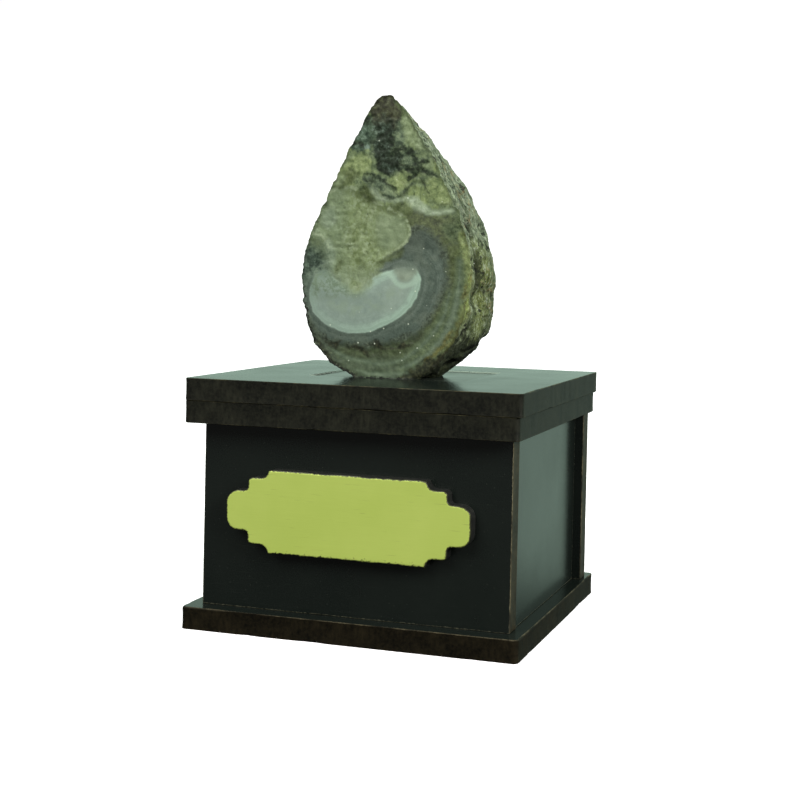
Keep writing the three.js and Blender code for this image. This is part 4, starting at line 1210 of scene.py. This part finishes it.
def pale_eye(tree, noises, across, height, colour):
    reach = attribute(tree, "eye_mm")
    dark_line = band(tree, noises, "eye_mm", 0.2, 0.4, 0.2)
    colour = blend(tree, some(tree, dark_line, 0.2), colour, "#414b45")
    eye = tones(tree, noises["small"], ["#74837b", "#7b8a81", "#829188"], 0.3, 0.7)
    warm = some(tree, between(tree, reach, -1.6, -3.2), between(tree, noises["middle"], 0.4, 0.6))
    eye = blend(tree, some(tree, warm, 0.5), eye, "#7f8f7b")
    rim = add(tree, "Math", {0: noises["middle"], 1: 1.6, 2: reach}, operation="MULTIPLY_ADD")
    wide = add(tree, "MapRange", {"Value": across, "From Min": -9.0, "From Max": 2.5, "To Min": 0.3, "To Max": 0.95})
    eye = blend(tree, some(tree, between(tree, rim, -0.9, 0.5), wide), eye, "#94ab9b")
    rings = add(tree, "Math", {0: noises["middle"], 1: 0.35, 2: reach}, operation="MULTIPLY_ADD")
    rings = add(tree, "TexNoise", {"W": rings, "Scale": 2.6, "Detail": 1.0}, noise_dimensions="1D")
    rings = some(tree, between(tree, rings, 0.52, 0.4), between(tree, reach, -2.6, -1.2))
    eye = blend(tree, some(tree, rings, 0.3), eye, "#6f8075")
    cloudy = some(tree, between(tree, across, -1.8, -4.2), between(tree, height, 10.0, 12.0))
    cloudy = some(tree, cloudy, between(tree, noises["small"], 0.34, 0.64))
    eye = blend(tree, some(tree, cloudy, 0.85), eye, "#5a6953")
    bright = some(tree, between(tree, across, -1.5, 1.0), between(tree, reach, -0.6, -2.0))
    eye = blend(tree, some(tree, bright, 0.22), eye, "#9cab9c")
    specks = between(tree, noises["fine"], 0.6, 0.7)
    eye = blend(tree, some(tree, some(tree, specks, warm), 0.6), eye, "#5f6d58")
    colour = blend(tree, zone(tree, noises, "eye_mm", 0.14, 0.3), colour, eye)
    beige = tones(tree, noises["small"], ["#757f70", "#7e8a7a", "#879382"], 0.3, 0.7)
    beige = blend(tree, between(tree, height, 14.4, 15.8), beige, "#5f6b60")
    colour = blend(tree, some(tree, zone(tree, noises, "beige_mm", 0.4, 0.3), 0.95), colour, beige)
    return blend(tree, some(tree, zone(tree, noises, "festoon_mm", 0.24, 0.2, grow=0.1), 0.75), colour, "#98ae9d")


# %% [markdown]
# Last come the inclusions. They are iron and chlorite that grew like moss: a mottled dark core, brown
# at the tip, with branches that end in thin threads. Pale streaks and yellow patches lie between.


# %% Inclusions
def patches(tree, noises, height, colour):
    yellow = tones(tree, noises["small"], ["#5f6d48", "#728055", "#818e60", "#909c71"])
    colour = blend(tree, some(tree, zone(tree, noises, "yellow_mm", 0.45, 0.9), 0.9), colour, yellow)
    olive = tones(tree, noises["small"], ["#394228", "#4a5433", "#5e6947"])
    colour = blend(tree, some(tree, zone(tree, noises, "patch_mm", 0.35, 0.8), 0.8), colour, olive)
    teal = tones(tree, noises["small"], ["#1b261f", "#2c3931", "#3c4a40", "#556558"])
    around = tones(tree, noises["small"], ["#4c5b4c", "#5c6c5c", "#71816d"])
    colour = blend(tree, some(tree, zone(tree, noises, "teal_mm", 1.5, 2.4, grow=1.3), 0.7), colour, around)
    colour = blend(tree, some(tree, zone(tree, noises, "teal_mm", 0.7, 1.6), 0.9), colour, teal)
    teal_top = tones(tree, noises["small"], ["#223026", "#3c4d3f", "#566857", "#74867a"], 0.34, 0.66)
    colour = blend(tree, zone(tree, noises, "teal_top_mm", 0.35, 1.0), colour, teal_top)
    haze = tones(tree, noises["small"], ["#2e392f", "#455244", "#5f6d58", "#778469"], 0.34, 0.66)
    colour = blend(tree, some(tree, zone(tree, noises, "haze_mm", 0.4, 0.9), 0.8), colour, haze)
    pale = tones(tree, noises["small"], ["#7d8c72", "#93a188", "#a8b5a0"], 0.34, 0.66)
    colour = blend(tree, some(tree, zone(tree, noises, "pale_mm", 0.4, 0.8, grow=0.05), 0.85), colour, pale)
    light = tones(tree, noises["small"], ["#6c7a59", "#7f8d6a", "#919e7e"])
    upper = between(tree, height, 25.0, 26.5)
    return blend(tree, some(tree, some(tree, zone(tree, noises, "pale_patch_mm", 0.5, 0.9), 0.8), upper), colour, light)


def moss(tree, noises, height, colour):
    noises["speckled"] = add(tree, "Mix", {0: 0.4, 2: noises["small"], 3: noises["grainy"]}, data_type="FLOAT")
    dark = tones(tree, noises["speckled"], ["#0b1009", "#172014", "#273125", "#3f4c41", "#66756a"], 0.34, 0.68)
    brown = tones(tree, noises["speckled"], ["#25261b", "#3a3a2d", "#4b4d37", "#62634d"], 0.34, 0.68)
    rising = add(tree, "Math", {0: noises["middle"], 1: 5.0, 2: height}, operation="MULTIPLY_ADD")
    dark = blend(tree, some(tree, between(tree, rising, 37.0, 39.2), 0.85), dark, brown)
    halo = zone(tree, noises, "moss_mm", 0.7, 1.6, grow=0.4)
    colour = blend(tree, some(tree, halo, 0.5), colour, "#46543f")
    colour = blend(tree, zone(tree, noises, "moss_mm", 0.45, 1.8, source="speckled"), colour, dark)
    thread = tones(tree, noises["grainy"], ["#0f150f", "#1c2619", "#35412f"], 0.38, 0.64)
    shadow = some(tree, zone(tree, noises, "vein_mm", 0.45, 1.0, grow=0.2), 0.45)
    colour = blend(tree, shadow, colour, "#3a4634")
    firm = add(tree, "MapRange", {"Value": height, "From Min": 25.5, "From Max": 28.0, "To Min": 0.6, "To Max": 0.92})
    return blend(tree, some(tree, zone(tree, noises, "vein_mm", 0.2, 0.7, grow=0.06), firm), colour, thread)


def worn_rim(tree, noises, across, height, colour):
    """Where the lower right edge of the cut is worn back, the colours of the skin come through."""
    skin = tones(tree, noises["small"], ["#545f3a", "#6a754a", "#7d8a5a", "#96a278"], 0.34, 0.66)
    skin = blend(tree, some(tree, between(tree, noises["small"], 0.54, 0.6), 0.6), skin, "#5f5a2c")
    skin = blend(tree, some(tree, between(tree, height, 10.5, 7.5), 0.7), skin, "#4a4720")
    skin = blend(tree, some(tree, between(tree, height, 5.6, 2.6), 0.9), skin, "#1f2114")
    colour = blend(tree, some(tree, zone(tree, noises, "worn_mm", 0.35, 0.9), 0.85), colour, skin)
    # Dark blotches, and painted shadow along the foot of the face.
    dark = tones(tree, noises["grainy"], ["#13140d", "#25261a", "#3c3d2a"], 0.36, 0.66)
    colour = blend(tree, some(tree, zone(tree, noises, "blotch_and_foot_shadow_mm", 0.35, 0.8), 0.88), colour, dark)
    rust = tones(tree, noises["grainy"], ["#3f3d1f", "#56532a", "#6b693b"])
    colour = blend(tree, some(tree, zone(tree, noises, "rust_mm", 0.35, 0.5), 0.8), colour, rust)
    edge = zone(tree, noises, "rim_mm", 0.2, 1.0, grow=0.26, source="grainy")
    patchy = add(tree, "MapRange", {"Value": noises["small"], "From Min": 0.4, "From Max": 0.55, "To Min": 0.3})
    low = add(tree, "MapRange", {"Value": height, "From Min": 7.0, "From Max": 14.0, "To Min": 1.6, "To Max": 0.5})
    edge = some(tree, edge, add(tree, "MapRange", {"Value": across, "From Min": 4.0, "From Max": 7.0, "To Min": 1.0, "To Max": 0.25}))
    return blend(tree, some(tree, edge, some(tree, patchy, low)), colour, "#11150e")


# %% Cut face material
OFF_GRID = (0.7, 0.4, 1.1)  # a noise cut along its own grid looks woven, so the grid is turned away from the face


def sawn_agate():
    material, tree, shader = new_material("sawn_agate")
    place = add(tree, "Attribute", {}, out="Vector", attribute_name="stone_mm")
    parts = tree.nodes.new("ShaderNodeSeparateXYZ")
    join(tree, parts, {"Vector": place})
    across, height = parts.outputs["X"], parts.outputs["Z"]
    sizes = {"broad": 0.3, "middle": 0.75, "small": 1.35, "grainy": 2.4, "fine": 4.5}
    turned = add(tree, "Mapping", {"Vector": place, "Rotation": OFF_GRID, "Location": (3.7, 5.2, 1.9)})
    noises = {name: stone_noise(tree, turned, per_mm, detail=3.5, roughness=0.6) for name, per_mm in sizes.items()}
    colour = ground(tree, noises, place, across, height)
    colour = grey_band(tree, noises, height, colour)
    colour = pale_eye(tree, noises, across, height, colour)
    colour = quartz_nest(tree, noises, place, across, height, colour)
    colour = patches(tree, noises, height, colour)
    colour = moss(tree, noises, height, colour)
    colour = worn_rim(tree, noises, across, height, colour)

    calm = add(tree, "Math", {0: zone(tree, noises, "eye_mm", 0.3), 1: between(tree, height, 3.2, 2.0)}, operation="MAXIMUM")
    speckle = tones(tree, noises["fine"], ["#2c2c2c", "#d8d8d8"], 0.3, 0.7)
    strength = add(tree, "Math", {0: calm, 1: -0.11, 2: 0.18}, operation="MULTIPLY_ADD")
    strength = add(tree, "Math", {0: zone(tree, noises, "druse_mm", 0.4, 0.5), 1: -0.08, 2: strength}, operation="MULTIPLY_ADD")
    colour = add(tree, "Mix", {0: strength, 6: colour, 7: speckle}, out=2, data_type="RGBA", blend_type="OVERLAY")
    pinholes = spots(tree, place, 1.3, 0.2, 0.25)
    pinholes = some(tree, pinholes, add(tree, "Math", {0: calm, 1: -1.0, 2: 1.0}, operation="MULTIPLY_ADD"))
    colour = blend(tree, some(tree, pinholes, 0.5), colour, "#2b3325")
    # Painted glints: small pale spots that stand in for sparkles of light on the crystals.
    colour = blend(tree, some(tree, spots(tree, place, 1.05, 0.15, 0.22), 0.6), colour, "#d3dbc8")

    rough = add(tree, "Math", {0: noises["fine"], 1: 0.3, 2: 0.34}, operation="MULTIPLY_ADD")
    rough = add(tree, "Math", {0: zone(tree, noises, "druse_mm", 0.4, 0.5), 1: -0.1, 2: rough}, operation="MULTIPLY_ADD")
    relief = add(tree, "Math", {0: noises["fine"], 1: 0.5, 2: noises["small"]}, operation="MULTIPLY_ADD")
    strength = add(tree, "Math", {0: calm, 1: -0.2, 2: 0.28}, operation="MULTIPLY_ADD")
    bump = add(tree, "Bump", {"Height": relief, "Strength": strength, "Distance": 0.22 * MM})
    join(tree, shader, {"Base Color": colour, "Roughness": rough, "Normal": bump, "IOR": 1.28})
    return material


# %% [markdown]
# ## The skin of the stone
# The natural skin is weathered chalcedony with clay and iron in its hollows. It is matt. The layers of
# the wall come to the surface as pale and dark streaks that run along the height of the side, so the
# noise behind them is stretched: slow along the height and quick from front to back. Yellow-green
# weathering and rust gather where the stone swells. The groove, the holes and the lower part of the
# skin are painted dark: painted shade, where shade falls in the hollows and under the stone.


# %% Skin material
def rind_bands(tree, noises, depth, height):
    """The layers of the wall where they come to the surface, from the cut edge to the back."""
    reach = add(tree, "Math", {0: noises["streaks"], 1: 3.0, 2: depth}, operation="MULTIPLY_ADD")
    share = add(tree, "MapRange", {"Value": reach, "From Min": 1.2, "From Max": 15.5})
    stops = [
        (0.0, "#69734c"), (0.05, "#7b8560"), (0.12, "#a0a982"), (0.2, "#8d9670"), (0.26, "#5c6740"), (0.32, "#717b42"),
        (0.45, "#7c8543"), (0.6, "#56623a"), (0.8, "#687254"), (1.0, "#525c44"),
    ]
    lower = add(tree, "ValToRGB", {"Fac": share}, out="Color", stops=stops)
    stops = [
        (0.0, "#6c7858"), (0.07, "#838f6b"), (0.13, "#9ca78b"), (0.19, "#68745a"), (0.26, "#8c9880"), (0.33, "#515d47"),
        (0.5, "#87937a"), (0.75, "#6c7860"), (1.0, "#828d75"),
    ]
    upper = add(tree, "ValToRGB", {"Fac": share}, out="Color", stops=stops)
    return blend(tree, between(tree, height, 21.0, 24.5), lower, upper)


def groove_shade(tree, noises, across, depth, height, colour):
    """Painted shade: darker along the long groove, and near black in the holes of the right side and along its
    underside.
    """
    wander = add(tree, "Math", {0: noises["small"], 1: 2.2, 2: depth}, operation="MULTIPLY_ADD")
    wander = add(tree, "Math", {0: noises["fine"], 1: 1.2, 2: wander}, operation="MULTIPLY_ADD")
    offset = add(tree, "Math", {0: wander, 1: GROOVE["y"] + 2.15}, operation="SUBTRACT")
    offset = add(tree, "Math", {0: offset}, operation="ABSOLUTE")
    up_there = some(tree, between(tree, height, 7.5, 10.0), between(tree, height, 19.5, 17.0))
    on_right = some(tree, between(tree, across, 4.0, 8.0), up_there)
    colour = blend(tree, some(tree, some(tree, between(tree, offset, 0.9, 0.3), 0.75), on_right), colour, "#2f3522")
    ragged = add(tree, "Math", {0: noises["small"], 1: 0.9, 2: attribute(tree, "hole_shade_mm")}, operation="MULTIPLY_ADD")
    colour = blend(tree, some(tree, between(tree, ragged, 1.3, 0.5), 0.45), colour, "#2f3522")
    return blend(tree, some(tree, between(tree, ragged, 0.65, 0.3), 0.92), colour, "#12150d")


def weathered_rind():
    material, tree, shader = new_material("weathered_agate_rind")
    place = add(tree, "Attribute", {}, out="Vector", attribute_name="stone_mm")
    parts = tree.nodes.new("ShaderNodeSeparateXYZ")
    join(tree, parts, {"Vector": place})
    across, depth, height = parts.outputs
    noises = {name: stone_noise(tree, place, per_mm) for name, per_mm in {"broad": 0.25, "small": 1.5, "fine": 4.0}.items()}
    long = add(tree, "Mapping", {"Vector": place, "Scale": (0.3, 1.4, 0.16)})
    noises["streaks"] = stone_noise(tree, long, 1.0, detail=5.0)
    short = add(tree, "Mapping", {"Vector": place, "Scale": (1.2, 2.0, 0.85), "Location": (3, 5, 7)})
    noises["threads"] = add(tree, "TexNoise", {"Vector": short, "Scale": 1.0, "Detail": 5.0, "Roughness": 0.72, "Distortion": 0.5})
    noises["pits"] = stone_noise(tree, add(tree, "Mapping", {"Vector": place, "Location": (1, 8, 2)}), 0.55, detail=5.0, roughness=0.72)
    flat = add(tree, "Mapping", {"Vector": place, "Scale": (1.3, 1.3, 0.8), "Location": (7, 2, 4)})
    noises["fleck"] = stone_noise(tree, flat, 1.0, roughness=0.7)

    wandering = add(tree, "Math", {0: noises["broad"], 1: 9.0, 2: height}, operation="MULTIPLY_ADD")
    colour = rind_bands(tree, noises, depth, wandering)
    mottle = tones(tree, noises["small"], ["#191e14", "#47523a", "#7d886a", "#b3bda0"], 0.34, 0.66)
    colour = blend(tree, 0.45, colour, mottle)
    fresh = some(tree, between(tree, depth, 2.6, 1.4), some(tree, between(tree, wandering, 22.5, 19.5), between(tree, wandering, 10.5, 13.0)))
    yellow = tones(tree, noises["small"], ["#5c612e", "#7a8341", "#939f53", "#a9b37a"], 0.34, 0.66)
    yellow = blend(tree, some(tree, between(tree, noises["fleck"], 0.54, 0.62), 0.6), yellow, "#6b5527")
    colour = blend(tree, some(tree, fresh, 0.85), colour, yellow)
    pale = add(tree, "Math", {0: fresh, 1: -0.45, 2: 0.65}, operation="MULTIPLY_ADD")
    colour = blend(tree, some(tree, between(tree, noises["threads"], 0.53, 0.63), pale), colour, "#b0b8a2")
    dark = add(tree, "Math", {0: fresh, 1: -0.5, 2: 0.8}, operation="MULTIPLY_ADD")
    colour = blend(tree, some(tree, between(tree, noises["threads"], 0.46, 0.38), dark), colour, "#2f3626")
    holes = some(tree, between(tree, noises["pits"], 0.44, 0.39), between(tree, depth, 1.2, 2.6))
    colour = blend(tree, some(tree, holes, 0.9), colour, "#1a1e15")
    rust = some(tree, between(tree, noises["broad"], 0.5, 0.6), between(tree, noises["small"], 0.52, 0.6))
    colour = blend(tree, some(tree, rust, 0.6), colour, "#715a2e")
    # Painted shade: the lower part of the skin is darker towards the bottom, with a wandering border, where shade falls
    # under the stone.
    low = add(tree, "Math", {0: noises["streaks"], 1: 9.0, 2: height}, operation="MULTIPLY_ADD")
    low = add(tree, "Math", {0: noises["threads"], 1: 3.0, 2: low}, operation="MULTIPLY_ADD")
    colour = blend(tree, some(tree, between(tree, low, 12.9, 10.9), 0.85), colour, "#1b2015")
    colour = blend(tree, some(tree, spots(tree, place, 0.8, 0.3, 0.3), 0.8), colour, "#1c2017")
    colour = groove_shade(tree, noises, across, depth, height, colour)
    edge = some(tree, between(tree, depth, 2.4, 0.6), between(tree, noises["fleck"], 0.45, 0.54))
    edge = some(tree, edge, add(tree, "Math", {0: fresh, 1: -0.7, 2: 1.0}, operation="MULTIPLY_ADD"))
    colour = blend(tree, some(tree, edge, 0.75), colour, "#3c4430")
    speckle = tones(tree, noises["fine"], ["#282828", "#dcdcdc"], 0.3, 0.7)
    colour = add(tree, "Mix", {0: 0.45, 6: colour, 7: speckle}, out=2, data_type="RGBA", blend_type="OVERLAY")
    colour = blend(tree, some(tree, spots(tree, place, 1.2, 0.15, 0.12), 0.7), colour, "#d9dece")

    relief = add(tree, "Math", {0: noises["threads"], 1: 1.4, 2: noises["small"]}, operation="MULTIPLY_ADD")
    bump = add(tree, "Bump", {"Height": relief, "Strength": 0.8, "Distance": 0.4 * MM})
    rough = add(tree, "Math", {0: noises["fine"], 1: 0.25, 2: 0.6}, operation="MULTIPLY_ADD")
    join(tree, shader, {"Base Color": colour, "Roughness": rough, "Normal": bump, "IOR": 1.3})
    return material


build_stone("agate", [sawn_agate(), weathered_rind()])

# %% [markdown]
# ## Floor and light
# The object was photographed in a room with a faint green cast, and stands against plain white.
# A pale floor that curves up far behind it gives the white without a horizon. The floor is shown to
# the camera alone and glows a little, as a light table does. What the black film reflects is the
# room: dim in front, brighter behind, brightest behind to the right, which lights up the side wall.
# The shape of the stone comes from the ceiling and from one large soft panel in front, high up.

# %% Studio
ROOM_TINT = "#dcffea"  # of the wall behind, which the lid and the side wall reflect
DAYLIGHT = "#fdfff8"


def build_floor():
    material, tree, shader = new_material("pale_paper")
    place = add(tree, "TexCoord", {}, out="Object")
    fibre = add(tree, "TexNoise", {"Vector": place, "Scale": 900.0, "Detail": 4.0})
    colour = blend(tree, fibre, "#efe9ee", "#f8f2f6")
    join(tree, shader, {
        "Base Color": colour, "Roughness": 0.9, "Specular IOR Level": 0.0,
        "Emission Color": linear("#fffcff"), "Emission Strength": 0.55,
    })
    half, bend_at, radius = 3.0, 1.4, 1.0
    profile = [(-half, 0.0), (bend_at, 0.0)]
    profile += [(bend_at + radius * math.sin(a), radius - radius * math.cos(a)) for a in np.linspace(0.1, math.pi / 2, 12)]
    profile.append((bend_at + radius, 4.0))
    points = [(side * half, y, z) for y, z in profile for side in (-1, 1)]
    faces = [(2 * n, 2 * n + 1, 2 * n + 3, 2 * n + 2) for n in range(len(profile) - 1)]
    mesh = bpy.data.meshes.new("floor_mesh")
    mesh.from_pydata(points, [], faces)
    mesh.polygons.foreach_set("use_smooth", [True] * len(faces))
    mesh.materials.append(material)
    floor = bpy.data.objects.new("floor", mesh)
    bpy.context.scene.collection.objects.link(floor)
    floor.visible_glossy = floor.visible_diffuse = floor.visible_shadow = False


def build_room():
    """The light of the room by direction, as the world's background."""
    world = bpy.data.worlds.new("room")
    world.use_nodes = True
    tree = world.node_tree
    axes = tree.nodes.new("ShaderNodeSeparateXYZ")
    join(tree, axes, {"Vector": add(tree, "TexCoord", {}, out="Generated")})
    x, y, z = [axes.outputs[axis] for axis in "XYZ"]
    behind = add(tree, "MapRange", {"Value": y, "From Min": -0.4, "From Max": 0.5, "To Min": 0.22, "To Max": 0.52})
    to_right = add(tree, "Math", {0: between(tree, x, 0.0, 0.25), 1: between(tree, y, 0.1, 0.6)}, operation="MULTIPLY")
    total = add(tree, "Math", {0: to_right, 1: 0.1, 2: behind}, operation="MULTIPLY_ADD")
    to_left = add(tree, "Math", {0: between(tree, x, 0.0, -0.2), 1: between(tree, y, 0.6, 0.9)}, operation="MULTIPLY")
    total = add(tree, "Math", {0: to_left, 1: 0.49, 2: total}, operation="MULTIPLY_ADD")
    total = add(tree, "Math", {0: between(tree, z, 0.25, 0.9), 1: 0.9, 2: total}, operation="MULTIPLY_ADD")
    below = add(tree, "MapRange", {"Value": z, "From Min": -0.185, "From Max": -0.225, "To Min": 1.0, "To Max": 0.05})
    total = add(tree, "Math", {0: total, 1: below}, operation="MULTIPLY")
    background = tree.nodes["Background"]
    tint = blend(tree, between(tree, y, -0.1, 0.3), DAYLIGHT, ROOM_TINT)
    join(tree, background, {"Color": tint, "Strength": total})
    bpy.context.scene.world = world


def add_panel(name, place, size, power):
    """A soft light panel that faces the stone."""
    light = bpy.data.lights.new(name, "AREA")
    light.shape = "RECTANGLE"
    light.size, light.size_y = size
    light.energy = power
    light.color = linear(DAYLIGHT)[:3]
    panel = bpy.data.objects.new(name, light)
    place = Vector(place)
    aim = (place - Vector((0, 0, 0.04))).to_track_quat("Z", "Y").to_matrix().to_4x4()
    panel.matrix_world = Matrix.Translation(place) @ aim
    bpy.context.scene.collection.objects.link(panel)


build_floor()
build_room()
add_panel("panel_front", (-0.25, -0.55, 0.5), (0.5, 0.4), 4.1)
add_panel("panel_right", (0.55, -0.22, 0.3), (0.3, 0.3), 4.4)
bpy.context.scene.view_settings.view_transform = "Standard"
